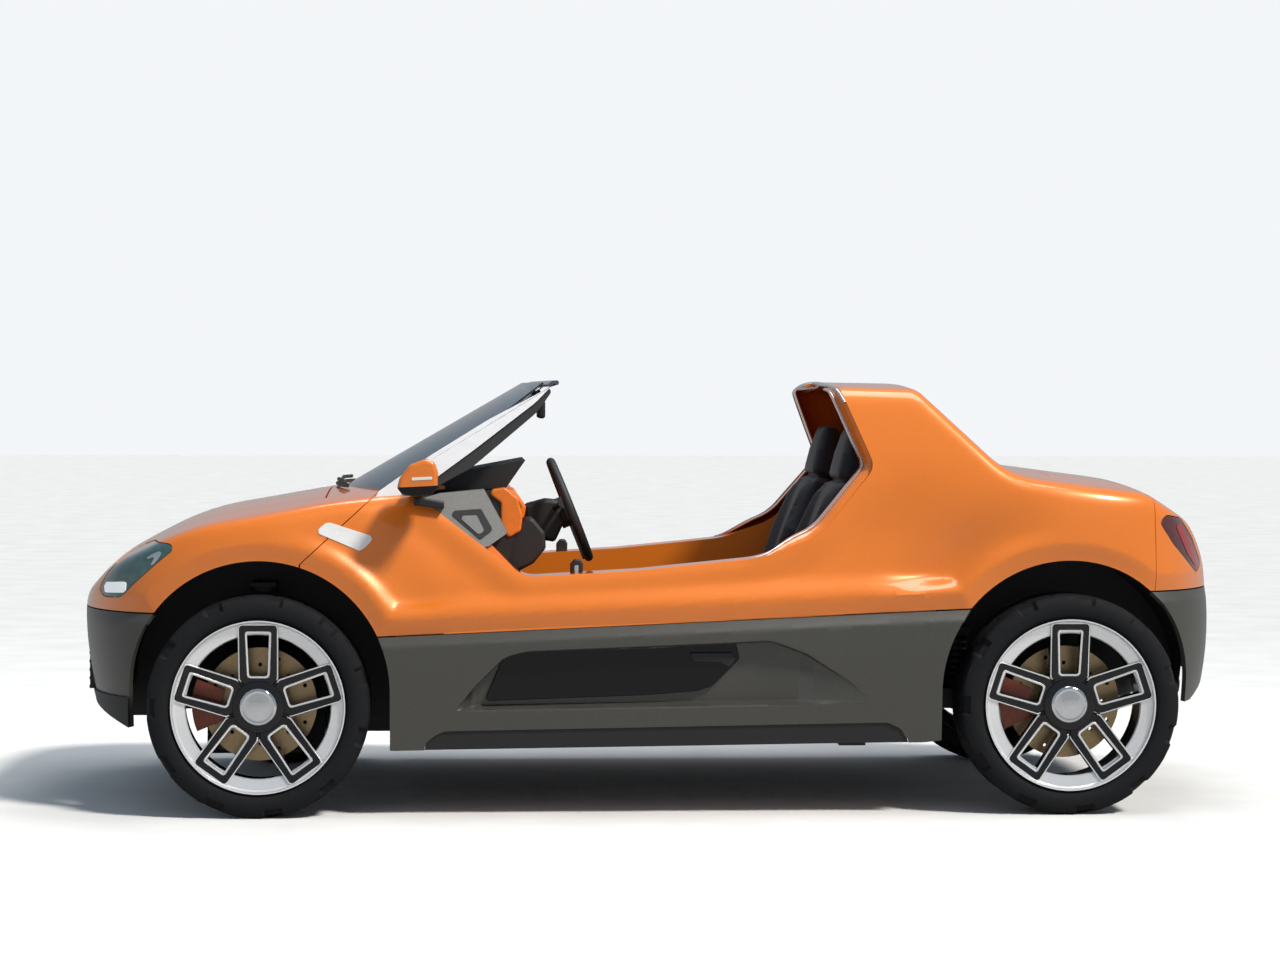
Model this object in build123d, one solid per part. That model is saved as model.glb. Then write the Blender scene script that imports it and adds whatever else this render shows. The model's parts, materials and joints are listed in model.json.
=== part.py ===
from build123d import *
import os
from math import cos, sin, radians

os.makedirs("parts", exist_ok=True)

# Small open two-seat buggy. Millimetres, front towards -X, left side towards -Y, floor at z = 0.
WHEELBASE = 2420.0
FRONT_OVERHANG = 562.0
REAR_OVERHANG = 518.0
LENGTH = WHEELBASE + FRONT_OVERHANG + REAR_OVERHANG
NOSE_X = -LENGTH / 2
TAIL_X = LENGTH / 2
AXLE_F = NOSE_X + FRONT_OVERHANG
AXLE_R = TAIL_X - REAR_OVERHANG
MID_X = (AXLE_F + AXLE_R) / 2
SKIN = 22.0
SKIRT_WALL = 60.0

WHEEL_Z = 330.0
TYRE_R = 330.0
TYRE_W = 215.0
TRACK_HALF = 717.0
RIM_R = 258.0
RIM_IN_R = 226.0
DISC_R = 169.0
KINGPIN_Y = 650.0
PIN_R = 12.0
ARCH_R = 388.0
ARCH_Z = 374.0
LINER_R = 395.0
LINER_IN_Y = 425.0

BELT_FRONT = 605.0
BELT_REAR = 666.0
BELT_A = (-804.0, 539.0)
BELT_B = (882.0, 616.0)
HOOD_REAR_X = -1000.0
BOOT_FRONT_X = 1216.0
TAIL_CUT_X = 1502.0
DECK_Y = 600.0
BOOT_Y = 520.0
GAP = 5.0
FIT = 0.4


def pushed(points, y0, y1, radius=0.0):
    """A side-view outline of (x, z) points carried across the car from y0 to y1."""
    corners = [Vector(x, y0, z) for x, z in points]
    if radius:
        line = FilletPolyline(*corners, radius=radius, close=True)
    else:
        line = Polyline(*corners, close=True)
    return extrude(Face(Wire(line.edges())), amount=y1 - y0, dir=(0, 1, 0))


def raised(points, z0, z1):
    """A plan outline of (x, y) points carried up from z0 to z1."""
    line = Polyline(*[Vector(x, y, z0) for x, y in points], close=True)
    return extrude(Face(Wire(line.edges())), amount=z1 - z0, dir=(0, 0, 1))


def block(x0, x1, y0, y1, z0, z1, radius=0.0):
    solid = Pos((x0 + x1) / 2, (y0 + y1) / 2, (z0 + z1) / 2) * Box(x1 - x0, y1 - y0, z1 - z0)
    return fillet(solid.edges(), radius) if radius else solid


def rod(start, end, radius):
    start, end = Vector(*start), Vector(*end)
    return Solid.make_cylinder(radius, (end - start).length, Plane(origin=start, z_dir=end - start))


def across(x, z, radius, y0, y1):
    return rod((x, y0, z), (x, y1, z), radius)


def other(shape):
    return mirror(shape, about=Plane.XZ)


def save(name, *shapes):
    solids = [s for shape in shapes for s in shape.solids()]
    export_step(solids[0] if len(solids) == 1 else Compound(children=solids), f"parts/{name}.step")


def pair(name, right):
    save(name + "_right", right)
    save(name + "_left", other(right))


# Outer form of the right half: plan outlines at six heights, lofted, under a crowned lengthwise profile.
# level: height, nose setback, half widths at the seven stations, tail setback
STATIONS = (AXLE_F - 350, AXLE_F, AXLE_F + 540, MID_X, AXLE_R - 560, AXLE_R, AXLE_R + 300)
LEVELS = (
    (150, 75, (690, 788, 798, 798, 798, 785, 680), 75),
    (400, 18, (742, 822, 828, 828, 828, 818, 732), 12),
    (600, 0, (758, 834, 834, 834, 834, 832, 752), 0),
    (780, 20, (735, 822, 784, 770, 792, 822, 735), 20),
    (980, 60, (690, 770, 712, 700, 735, 782, 705), 50),
    (1350, 140, (590, 620, 585, 575, 590, 630, 590), 120),
)
# crest: x, height on the centreline, corner radius
CREST = (
    (NOSE_X - 260, 300, 0),
    (NOSE_X - 30, 612, 40),
    (NOSE_X + 120, 770, 300),
    (NOSE_X + 350, 892, 700),
    (NOSE_X + 766, 965, 1500),
    (-640, 1000, 200),
    (545, 1298, 60),
    (795, 1294, 60),
    (1060, 1045, 260),
    (1480, 990, 150),
    (1640, 890, 150),
    (TAIL_X + 200, 420, 0),
)
CROWN_AXIS = Axis((0, 0, -8000), (1, 0, 0))


def form(inset):
    """The right half of the body form, drawn in by inset on every side."""
    start_y = -20.0 if inset else 0.0
    outlines = []
    for z, nose, widths, tail in LEVELS:
        a = NOSE_X + nose + inset
        b = TAIL_X - tail - inset
        level = z - 40 if inset and z < 200 else z
        points = [Vector(a, start_y, level), Vector(a + 20, 420 - inset, level)]
        points += [Vector(x, y - inset, level) for x, y in zip(STATIONS, widths)]
        points += [Vector(b - 20, 440 - inset, level), Vector(b - 4, 200, level), Vector(b, start_y, level)]
        side = Spline(*points, tangents=[(0, 1, 0), (0, -1, 0)])
        outlines.append(Face(Wire([side, Line(points[-1], points[0])])))
    walls = loft(outlines)
    crest = [Vector(x, start_y, z - inset) for x, z, r in CREST]
    top = FilletPolyline(*crest, radius=[r for x, z, r in CREST][1:-1])
    foot = Polyline(crest[-1], Vector(crest[-1].X, start_y, 0), Vector(crest[0].X, start_y, 0), crest[0])
    profile = Face(Wire(top.edges() + foot.edges()))
    crown = revolve(profile, CROWN_AXIS, -8)
    return walls & crown


outer = form(0)
outset = form(-FIT)
inner = form(SKIN)
inner_fit = form(SKIN + FIT)
skirt_inner = form(SKIRT_WALL)
skirt_fit = form(SKIRT_WALL + FIT)

# Cuts that all panels share: open cockpit, wheel arches, underside.
cockpit = pushed(
    [(-655, 1500), (-655, 968), (-406, 712), (-58, 732), (300, 768), (480, 832), (655, 1040), (548, 1302),
     (548, 1500)],
    -10, 1000, [5, 10, 90, 400, 300, 200, 50, 20, 5],
)
arches = [
    pushed([(x - ARCH_R, 50), (x - ARCH_R, ARCH_Z), (x + ARCH_R, ARCH_Z), (x + ARCH_R, 50)], LINER_IN_Y, 1000)
    + across(x, ARCH_Z, ARCH_R, LINER_IN_Y, 1000)
    for x in (AXLE_F, AXLE_R)
]
underside = pushed(
    [(NOSE_X - 60, 330), (-1720, 320), (-1521, 236), (-790, 199), (796, 219), (1643, 324), (TAIL_X + 60, 440),
     (TAIL_X + 60, 20), (NOSE_X - 60, 20)],
    -30, 1000,
)
cuts = [cockpit, *arches, underside]


def skin(zone):
    """The part of the body's skin that lies in a zone."""
    return (outer & zone) - inner - cuts



# Zones of the panels in side view.
SHUT_TOP = (-818, 980)
SHUT_MID = (-1067, 751)
belt = [(SHUT_MID[0], BELT_A[1]), BELT_A, BELT_B, (TAIL_CUT_X, BELT_REAR)]
fender_zone = pushed(
    [(NOSE_X - 50, BELT_FRONT), (NOSE_X - 50, 1300), (SHUT_TOP[0], 1300), SHUT_TOP, SHUT_MID,
     (SHUT_MID[0], BELT_FRONT)],
    -5, 1000,
)
side_zone = pushed(
    [(SHUT_TOP[0], 1400), SHUT_TOP, SHUT_MID, belt[0], *belt[1:], (TAIL_CUT_X, 1400)], DECK_Y, 1000
) + pushed(
    [(BOOT_FRONT_X, 700), (BOOT_FRONT_X, 1400), (TAIL_CUT_X, 1400), (TAIL_CUT_X, 700)], BOOT_Y + GAP, 1000
)
bumper_f_zone = block(NOSE_X - 50, AXLE_F, -5, 1000, 50, BELT_FRONT)
bumper_r_zone = block(TAIL_CUT_X, TAIL_X + 50, -5, 1000, 50, BELT_REAR)
tail_zone = block(TAIL_CUT_X, TAIL_X + 50, -5, 1000, BELT_REAR, 1100)
skirt_zone = pushed([(BELT_A[0], 50), BELT_A, BELT_B, (BELT_B[0], 50)], 0, 1000)
hood_plan = [(NOSE_X + 70, -5), (NOSE_X + 70, 380), (NOSE_X + 300, 500), (HOOD_REAR_X, 560), (HOOD_REAR_X, -5)]
hood_gap_plan = [
    (NOSE_X + 70 - GAP, -5), (NOSE_X + 70 - GAP, 380 + GAP), (NOSE_X + 300, 500 + GAP),
    (HOOD_REAR_X, 560 + GAP), (HOOD_REAR_X, -5),
]
hood_zone = raised(hood_plan, 620, 1200)
hood_gap = raised(hood_gap_plan, 620, 1200)
boot_zone = block(BOOT_FRONT_X + GAP, 1600, -5, BOOT_Y, 800, 1200)
boot_gap = block(BOOT_FRONT_X, 1600 + GAP, -5, BOOT_Y + GAP, 800, 1200)
lamp_outline = [(-1700, 640), (-1600, 648), (-1470, 745), (-1420, 806), (-1480, 812), (-1640, 728)]
headlamp_zone = pushed(lamp_outline, 480, 1000)
tail_lamp_zone = pushed([(1508, 890), (1560, 905), (1705, 722), (1650, 706)], 520, 1000)

cowl_zone = block(HOOD_REAR_X, -640, -5, DECK_Y, 800, 1100)


def full(half):
    return half + other(half)


pair("front_fender", skin(fender_zone) - hood_gap - cowl_zone - headlamp_zone)
pair("body_side", skin(side_zone))
TOW_Y = 250.0
TOW_F_Z = 510.0
TOW_R_Z = 520.0
access_f = rod((NOSE_X - 50, TOW_Y, TOW_F_Z), (-1600, TOW_Y, TOW_F_Z), 28)
access_r = rod((1600, TOW_Y, TOW_R_Z), (TAIL_X + 50, TOW_Y, TOW_R_Z), 28)
save("front_bumper", full(skin(bumper_f_zone) - block(NOSE_X - 50, -1600, -5, 340, 345, 465)) - access_f)
save("rear_bumper", full(skin(bumper_r_zone)) - access_r)
save("tail_panel", full(skin(tail_zone) - boot_gap - tail_lamp_zone))
save("hood", full(skin(hood_zone)))
save("boot_lid", full(skin(boot_zone)))
# The cowl and the deck carry a ledge that the shut lids rest on.
LEDGE = 9.0
ledge_inner = form(SKIN + LEDGE)


def ledge(joined, rest):
    return ((inner - ledge_inner) & joined) + ((inner_fit - ledge_inner) & rest)


cowl = skin(block(HOOD_REAR_X + GAP, -640, -5, DECK_Y, 800, 1100))
cowl += ledge(block(HOOD_REAR_X + GAP, HOOD_REAR_X + 45, 0, 500, 800, 1100),
              block(HOOD_REAR_X - 25, HOOD_REAR_X + 20, 0, 500, 800, 1100))
save("cowl", full(cowl))
deck = skin(block(540, BOOT_FRONT_X, -5, DECK_Y, 900, 1400))
deck += ledge(block(BOOT_FRONT_X - 45, BOOT_FRONT_X, 0, 480, 900, 1100),
              block(BOOT_FRONT_X - 20, BOOT_FRONT_X + 30, 0, 480, 900, 1100))
save("rear_deck", full(deck))
lamp = skin(headlamp_zone)
save("headlamps", lamp, other(lamp))
lamp = skin(tail_lamp_zone)
save("tail_lamps", lamp, other(lamp))

# Side skirts with a scooped pocket and its inset panel.
POCKET = [(-601, 326), (-474, 494), (388, 527), (624, 346)]
POCKET_Y = 790.0
pocket = pushed(POCKET, POCKET_Y, 1000, 18)
skirt = (outer & skirt_zone) - skirt_inner - [*arches, underside, pocket]
save("side_skirts", skirt, other(skirt))
inset = pushed([(-560, 340), (-455, 480), (375, 512), (575, 358)], POCKET_Y, POCKET_Y + 8, 14)
save("skirt_panels", inset, other(inset))

# Floor, inner sills, firewall and rear bulkhead.
SILL_IN_Y = 640.0
FLOOR_TOP = 240.0
floor = block(-790, 790, -SILL_IN_Y, SILL_IN_Y, FLOOR_TOP - 28, FLOOR_TOP) + block(-1000, 900, -355, 355, FLOOR_TOP - 28, FLOOR_TOP)
for x in (-600, 600):
    for y in (-595, 595):
        floor += block(x - 40, x + 40, y - 25, y + 25, 190, FLOOR_TOP - 27)
save("floor_pan", floor)


def belt_z(x):
    return BELT_A[1] + (x - BELT_A[0]) * (BELT_B[1] - BELT_A[1]) / (BELT_B[0] - BELT_A[0])


sill_low = skirt_fit & pushed([(-785, 225), (-785, belt_z(-785)), (830, belt_z(830)), (830, 225)], SILL_IN_Y, 1000)
sill_top = inner_fit & pushed([(-640, belt_z(-640)), (-640, 1300), (548, 1300), (548, belt_z(548))], SILL_IN_Y, 1000)
sill_top = sill_top - cockpit
sill = sill_low + sill_top
save("inner_sills", sill, other(sill))
firewall = pushed([(-800, FLOOR_TOP), (-800, 930), (-775, 930), (-775, FLOOR_TOP)], -5, SILL_IN_Y)
firewall = firewall - across(AXLE_F, ARCH_Z, LINER_R + 8, 415, 1000)
save("firewall", full(inner_fit & firewall & block(-900, 0, 0, 1000, 0, 2000)))
bulkhead = pushed(
    [(632, FLOOR_TOP), (722, 980), (722, 1400), (747, 1400), (747, 980), (657, FLOOR_TOP)], -5, SILL_IN_Y
)
save("rear_bulkhead", full(inner_fit & bulkhead & block(0, 900, 0, 1000, 0, 2000)))

# Windshield: two plan arcs joined by straight lines, framed by pillars and a header.
GLASS = 6.0
# edge: z, x at the centre, x at the corner, half width
GLASS_BASE = (900.0, -1060.0, -735.0, 690.0)
GLASS_TOP = (1284.0, -400.0, -335.0, 584.0)


def arc_strip(z, x_mid, x_end, half, depth):
    front = ThreePointArc((x_end, -half, z), (x_mid, 0, z), (x_end, half, z))
    back = ThreePointArc((x_end + depth, half, z), (x_mid + depth, 0, z), (x_end + depth, -half, z))
    return Face(Wire([front, Line(front @ 1, back @ 0), back, Line(back @ 1, front @ 0)]))


form_full = full(outset & block(-2000, 0, 0, 1000, 0, 2000))
glass = loft([arc_strip(*GLASS_BASE, GLASS * 2), arc_strip(*GLASS_TOP, GLASS * 2)], ruled=True)
save("windshield", glass - form_full)
HEADER_Z = 1284.0
header = extrude(arc_strip(HEADER_Z, -404, -338, 622, 46), amount=16, dir=(0, 0, 1))
pillar_foot = Pos(-712, 706, 900) * Rectangle(52, 30)
pillar_head = Pos(-318, 606, HEADER_Z) * Rectangle(40, 30)
pillar = loft([pillar_foot, pillar_head]) - outset
save("windshield_frame", header, pillar, other(pillar))

# Mirrors.
head = block(-777, -657, 812, 940, 957, 1066, 34)
arm = block(-742, -692, 690, 830, 968, 1000) - outset
mirror_half = head + arm
save("door_mirrors", mirror_half, other(mirror_half))
back = block(-345, -322, -115, 115, 1180, 1238, 9) + rod((-335, 0, 1225), (-372, 0, 1292), 8)
save("interior_mirror", back - header)

# Dashboard, instrument hood, steering column.
DRIVER_Y = -360.0
dash = pushed(
    [(-775, 560), (-775, 860), (-632, 860), (-632, 960), (-455, 968), (-405, 925), (-445, 760), (-560, 610)],
    -SILL_IN_Y, SILL_IN_Y, [3, 3, 5, 12, 20, 40, 60, 40],
)
save("dashboard", dash)
shade = pushed([(-560, 940), (-545, 1005), (-392, 1060), (-398, 1030), (-470, 940)], DRIVER_Y - 130, DRIVER_Y + 130)
save("instrument_hood", shade - dash)
WHEEL_TOP = Vector(-317, DRIVER_Y, 1059)
WHEEL_FOOT = Vector(-189, DRIVER_Y, 740)
HELM = (WHEEL_TOP + WHEEL_FOOT) * 0.5
HELM_AXIS = Vector(0.928, 0, 0.372)
HELM_R = 158.0
GRIP_R = 14.0
SHAFT_R = 10.0
helm_plane = Plane(origin=HELM, x_dir=(0, 1, 0), z_dir=HELM_AXIS)
column_start = HELM - HELM_AXIS * 45
column_end = HELM - HELM_AXIS * 190
column = Solid.make_cylinder(34, 145, Plane(origin=column_end, z_dir=HELM_AXIS)) - dash
column += Solid.make_cylinder(SHAFT_R, 170, Plane(origin=column_end, z_dir=HELM_AXIS)) - dash
save("steering_column", column)
helm = Solid.make_torus(HELM_R, GRIP_R, helm_plane)
helm += Solid.make_cylinder(48, 40, Plane(origin=HELM - HELM_AXIS * 40, z_dir=HELM_AXIS))
for angle in (0, 180, 270):
    spoke = Plane(origin=HELM - HELM_AXIS * 12, x_dir=(0, 1, 0), z_dir=HELM_AXIS)
    helm += spoke * (Rot(0, 0, angle) * Pos(HELM_R / 2, 0, 0) * Box(HELM_R, 34, 14))
helm -= Solid.make_cylinder(SHAFT_R + 0.1, 34, Plane(origin=HELM - HELM_AXIS * 50, z_dir=HELM_AXIS))
save("steering_wheel", helm)

# Console, gear lever, pedals, seats.
console = block(-560, 420, -105, 105, FLOOR_TOP, 400)
console = fillet(console.edges().group_by(Axis.Z)[-1], 25)
lever = rod((-60, 0, 390), (-40, 0, 520), 9) + Pos(-38, 0, 535) * Sphere(24)
save("centre_console", console + lever)
pedals = []
for y in (DRIVER_Y - 95, DRIVER_Y, DRIVER_Y + 95):
    pedals.append(rod((-775, y, 470), (-735, y, 470), 9) + block(-742, -728, y - 8, y + 8, 330, 476)
                  + block(-736, -718, y - 32, y + 32, 300, 360))
save("pedals", *pedals)
SEAT_Y = 360.0
SEAT_HALF = 225.0
seat = pushed(
    [(-70, 400), (-50, 330), (400, 310), (505, 380), (675, 960), (690, 1150), (650, 1182), (585, 1140),
     (545, 980), (420, 560), (330, 470), (60, 490), (-40, 480)],
    SEAT_Y - SEAT_HALF, SEAT_Y + SEAT_HALF, [25, 25, 60, 80, 60, 25, 20, 25, 100, 60, 60, 60, 20],
)
seat = fillet(seat.edges().filter_by(lambda e: abs(e.center().Y - SEAT_Y) > SEAT_HALF - 1), 14)
base = block(20, 380, SEAT_Y - 170, SEAT_Y + 170, FLOOR_TOP, 340) - seat
pair("seat", seat + base)

# Engine, exhaust, subframes, liners.
save("engine", block(-1420, -1010, -300, 300, 290.3, 800, 20))
rails = block(-1640, -800, 360, 420, 290, 380) + block(-1640, -1580, -5, 420, 290, 380)
rails += block(-930, -800, -5, 420, 240, 300)
rails += block(AXLE_F - 180, AXLE_F + 180, 300, 400, 150, 300) + block(AXLE_F - 60, AXLE_F + 60, -5, 320, 180, 290)
front_frame = full(rails + block(-1640, -1600, 210, 420, 370, 540))
front_frame += rod((-1620, TOW_Y, TOW_F_Z), (-1690, TOW_Y, TOW_F_Z), 17)
front_frame -= rod((-1645, TOW_Y, TOW_F_Z), (-1700, TOW_Y, TOW_F_Z), 10)
rails = block(692, 1640, 360, 420, 400, 470) + block(1560, 1620, -5, 420, 380, 470)
rails += block(AXLE_R - 450, AXLE_R - 390, 360, 420, 300, 410) + block(760, 830, -5, 420, 240, 320)
rear_frame = full(rails + block(1590, 1620, 210, 420, 460, 550))
rear_frame += rod((1605, TOW_Y, TOW_R_Z), (1690, TOW_Y, TOW_R_Z), 17)
rear_frame -= rod((1645, TOW_Y, TOW_R_Z), (1700, TOW_Y, TOW_R_Z), 10)
save("subframes", front_frame, rear_frame)
tub = block(1180, 1555, -410, 410, 470, 800) - block(1192, 1543, -398, 398, 482, 900)
save("boot_tub", tub)
liners = []
for x in (AXLE_F, AXLE_R):
    drum = across(x, ARCH_Z, LINER_R + 5, 420, 790) - across(x, ARCH_Z, LINER_R, LINER_IN_Y, 800)
    drum = drum & skirt_inner & block(x - 500, x + 500, 0, 1000, ARCH_Z, 1000)
    liners += [drum, other(drum)]
save("wheel_liners", *liners)
muffler = block(1300, 1555, -250, 250, 300, 420, 40) + block(1540, 1560, -60, 60, 385, 415)
save("exhaust", muffler + rod((1500, -180, 350), (1700, -180, 330), 26))
GRILLE_Z = (352, 378, 404, 430, 456)
bars = [block(-1735, -1715, -338, 338, z - 4, z + 4) for z in GRILLE_Z]
bars += [block(-1733, -1717, y - 6, y + 6, 346, 464) for y in (-334, -110, 110, 334)]
save("front_grille", bars[0] + bars[1:])

# Front suspension: arms with eyes on the kingpin, coil springs, rack.
LOW_Z = (165.0, 187.0)
HIGH_Z = (478.0, 500.0)
SPRING_Y = 505.0


def wishbone(z0, z1, root_y, spread):
    plate = raised([(AXLE_F - spread, root_y), (AXLE_F + spread, root_y), (AXLE_F + 20, KINGPIN_Y - 4),
                    (AXLE_F - 20, KINGPIN_Y - 4)], z0, z1)
    plate += rod((AXLE_F, KINGPIN_Y, z0), (AXLE_F, KINGPIN_Y, z1), 20)
    opening = raised([(AXLE_F - spread + 50, root_y + 35), (AXLE_F + spread - 50, root_y + 35),
                      (AXLE_F, KINGPIN_Y - 90)], z0 - 5, z1 + 5)
    return plate - opening - rod((AXLE_F, KINGPIN_Y, z0 - 5), (AXLE_F, KINGPIN_Y, z1 + 5), PIN_R + 0.3)


low = wishbone(*LOW_Z, 400, 150)
high = wishbone(*HIGH_Z, LINER_IN_Y, 130) - rod((AXLE_F, SPRING_Y, HIGH_Z[0] - 5), (AXLE_F, SPRING_Y, HIGH_Z[1] + 5), 52)
save("front_arms", low, other(low), high, other(high))


def coil_over(x, y, z0, z1):
    """Damper tube with a stack of spring turns and the seat plates at both ends."""
    unit = rod((x, y, z0), (x, y, z1), 22) + rod((x, y, z0), (x, y, z0 + 12), 44) + rod((x, y, z1 - 12), (x, y, z1), 44)
    turns = 6
    for k in range(turns):
        z = z0 + 30 + (z1 - z0 - 60) * k / (turns - 1)
        unit += Pos(x, y, z) * Torus(30, 9)
    return unit


front_unit = coil_over(AXLE_F, SPRING_Y, LOW_Z[1], 670)
front_unit += block(AXLE_F - 40, AXLE_F + 40, LINER_IN_Y, SPRING_Y + 40, 670, 684)
rear_unit = coil_over(AXLE_R - 300, SPRING_Y - 15, 370, 530)
rear_unit += block(AXLE_R - 340, AXLE_R - 260, LINER_IN_Y, SPRING_Y + 25, 530, 544)
save("springs", front_unit, other(front_unit), rear_unit, other(rear_unit))
save("steering_rack", across(AXLE_F + 215, 300, 24, -360, 360))

SPINDLE_R = 22.0
SPINDLE_END = 788.0
upright = block(AXLE_F - 30, AXLE_F + 30, 630, 668, LOW_Z[1] + 3, HIGH_Z[0] - 3)
upright += rod((AXLE_F, KINGPIN_Y, LOW_Z[0]), (AXLE_F, KINGPIN_Y, HIGH_Z[1]), PIN_R)
upright += across(AXLE_F, WHEEL_Z, SPINDLE_R, 660, SPINDLE_END)
upright += block(AXLE_F - 150, AXLE_F - 25, 638, 655, 300, 360) + block(AXLE_F + 25, AXLE_F + 140, 600, 640, 250, 272)
pair("knuckle", upright)

CALIPER_Y = (655.0, 735.0)
ROTOR_Y = (676.0, 700.0)


def caliper(x):
    """A block over the front edge of the disc, following its rim."""
    ring = across(x, WHEEL_Z, 200, *CALIPER_Y) - across(x, WHEEL_Z, 112, CALIPER_Y[0] - 5, CALIPER_Y[1] + 5)
    ring = ring - across(x, WHEEL_Z, DISC_R + 6, ROTOR_Y[0] - 5, ROTOR_Y[1] + 5)
    wedge = pushed([(x, WHEEL_Z), (x - 260, WHEEL_Z + 110), (x - 260, WHEEL_Z - 110)], 600, 800)
    return ring & wedge


pair("caliper_front", caliper(AXLE_F))
part_rear = caliper(AXLE_R)
save("calipers_rear", part_rear, other(part_rear))

# Rear axle: trailing arms joined by a cross tube, pivots on the subframe, spindles.
arm_rear = block(AXLE_R - 440, AXLE_R + 40, 540, 590, 300, 360)
arm_rear += across(AXLE_R - 420, WHEEL_Z, 26, 420, 545) + across(AXLE_R - 300, WHEEL_Z, 40, -5, 545)
arm_rear += across(AXLE_R, WHEEL_Z, SPINDLE_R, 580, SPINDLE_END)
arm_rear += block(AXLE_R - 150, AXLE_R - 90, 585, 655, 305, 355)
save("rear_axle", full(arm_rear))

# Wheels, drawn about the Y axis with the outer side towards +Y, then set in place.
# tyre section: distance from the centre plane, radius, corner radius
TYRE = ((-96.7, 234.3, 2), (96.7, 234.3, 2), (96.7, 262, 4), (TYRE_W / 2, 280, 14), (TYRE_W / 2 - 2, 300, 20),
        (92, TYRE_R, 14), (-92, TYRE_R, 14), (-TYRE_W / 2 + 2, 300, 20), (-TYRE_W / 2, 280, 14), (-96.7, 262, 4))
BARREL = ((-106, 226), (106, 226), (106, RIM_R), (97, RIM_R), (97, 234), (-97, 234), (-97, RIM_R), (-106, RIM_R))
SPOKES = 5
SPOKE_Y = (43.0, 83.0)
HUB_Y = (8.0, 78.0)


def turned(section, radii):
    corners = [Vector(0, y, r) for y, r in section]
    line = FilletPolyline(*corners, radius=radii, close=True) if radii else Polyline(*corners, close=True)
    return revolve(Face(Wire(line.edges())), Axis.Y)


tyre = turned([(y, r) for y, r, c in TYRE], [c for y, r, c in TYRE])
rim = turned(BARREL, None)
for k in range(SPOKES):
    loop = pushed([(-52, 60), (52, 60), (59, 240), (-59, 240)], *SPOKE_Y) & across(0, 0, 231, *SPOKE_Y)
    loop = loop - pushed([(-36, 88), (36, 88), (42, 222), (-42, 222)], SPOKE_Y[0] - 5, SPOKE_Y[1] + 5, 8)
    rim += Rot(0, 360 * k / SPOKES, 0) * loop
rim += across(0, 0, 80, *HUB_Y)
rim -= across(0, 0, SPINDLE_R + 0.3, -100, 72)
disc = across(0, 0, DISC_R, ROTOR_Y[0] - TRACK_HALF, ROTOR_Y[1] - TRACK_HALF)
disc += across(0, 0, 74, ROTOR_Y[1] - TRACK_HALF, HUB_Y[0])
disc -= across(0, 0, SPINDLE_R + 0.3, -100, 100)
for k in range(16):
    hole = across(0, 118 + 26 * (k % 2), 6, -60, 0)
    disc -= Rot(0, 360 * k / 16, 0) * hole

for corner, x, side in (("fl", AXLE_F, -1), ("fr", AXLE_F, 1), ("rl", AXLE_R, -1), ("rr", AXLE_R, 1)):
    for name, solid in (("tyre", tyre), ("rim", rim), ("disc", disc)):
        turned_out = solid if side > 0 else other(solid)
        save(f"{name}_{corner}", Pos(x, side * TRACK_HALF, WHEEL_Z) * turned_out)
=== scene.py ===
import bpy, bmesh, json
import numpy as np
from math import radians, sin, cos, pi, sqrt, atan2, hypot
from mathutils import Matrix, Vector

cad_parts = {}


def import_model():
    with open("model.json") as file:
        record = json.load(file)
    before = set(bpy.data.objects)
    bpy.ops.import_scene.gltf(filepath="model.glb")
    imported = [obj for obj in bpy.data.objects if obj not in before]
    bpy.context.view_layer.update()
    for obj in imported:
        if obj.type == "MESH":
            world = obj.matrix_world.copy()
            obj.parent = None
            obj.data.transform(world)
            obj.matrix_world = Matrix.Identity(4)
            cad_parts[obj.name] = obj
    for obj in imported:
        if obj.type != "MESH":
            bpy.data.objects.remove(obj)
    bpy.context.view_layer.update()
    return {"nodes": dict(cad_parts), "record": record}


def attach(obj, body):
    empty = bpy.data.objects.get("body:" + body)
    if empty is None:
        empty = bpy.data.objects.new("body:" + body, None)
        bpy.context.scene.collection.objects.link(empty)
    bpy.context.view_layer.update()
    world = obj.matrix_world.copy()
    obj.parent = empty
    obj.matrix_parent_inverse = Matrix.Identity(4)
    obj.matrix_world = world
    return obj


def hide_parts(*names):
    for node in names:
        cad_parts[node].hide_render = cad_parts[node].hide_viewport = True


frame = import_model()
MM = 0.001
FLIP = np.array([1, -1, 1])
scene = bpy.context.scene

# Camera, solved from the photo: place in metres, angles in radians
CAMERA_AT = (-0.600, -10.298, 1.242)
YAW, PITCH, ROLL = 0.05685, 0.0252, 0.002165
SENSOR, FOCAL_PIXELS, PHOTO_PIXELS = 36.0, 3204.8, 1280.0

ahead = Vector((sin(YAW) * cos(PITCH), cos(YAW) * cos(PITCH), -sin(PITCH)))
level = Vector((cos(YAW), -sin(YAW), 0.0))
upright = level.cross(ahead)
right = level * cos(ROLL) + upright * sin(ROLL)
up = upright * cos(ROLL) - level * sin(ROLL)
camera = bpy.data.objects.new("camera", bpy.data.cameras.new("camera"))
scene.collection.objects.link(camera)
camera.matrix_world = Matrix.Translation(CAMERA_AT) @ Matrix((right, up, -ahead)).transposed().to_4x4()
camera.data.lens = SENSOR * FOCAL_PIXELS / PHOTO_PIXELS
camera.data.sensor_width = SENSOR
camera.data.clip_end = 200.0
scene.camera = camera
scene.view_settings.view_transform = "Standard"


# Shader helpers
def fresh_tree(owner):
    """An empty node tree for a material or a world."""
    owner.use_nodes = True
    owner.node_tree.nodes.clear()
    return owner.node_tree


def node(tree, kind, **values):
    """A shader node with values set on its sockets; an underscore stands for a space."""
    made = tree.nodes.new("ShaderNode" + kind)
    for socket, value in values.items():
        made.inputs[socket.replace("_", " ")].default_value = value
    return made


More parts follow.
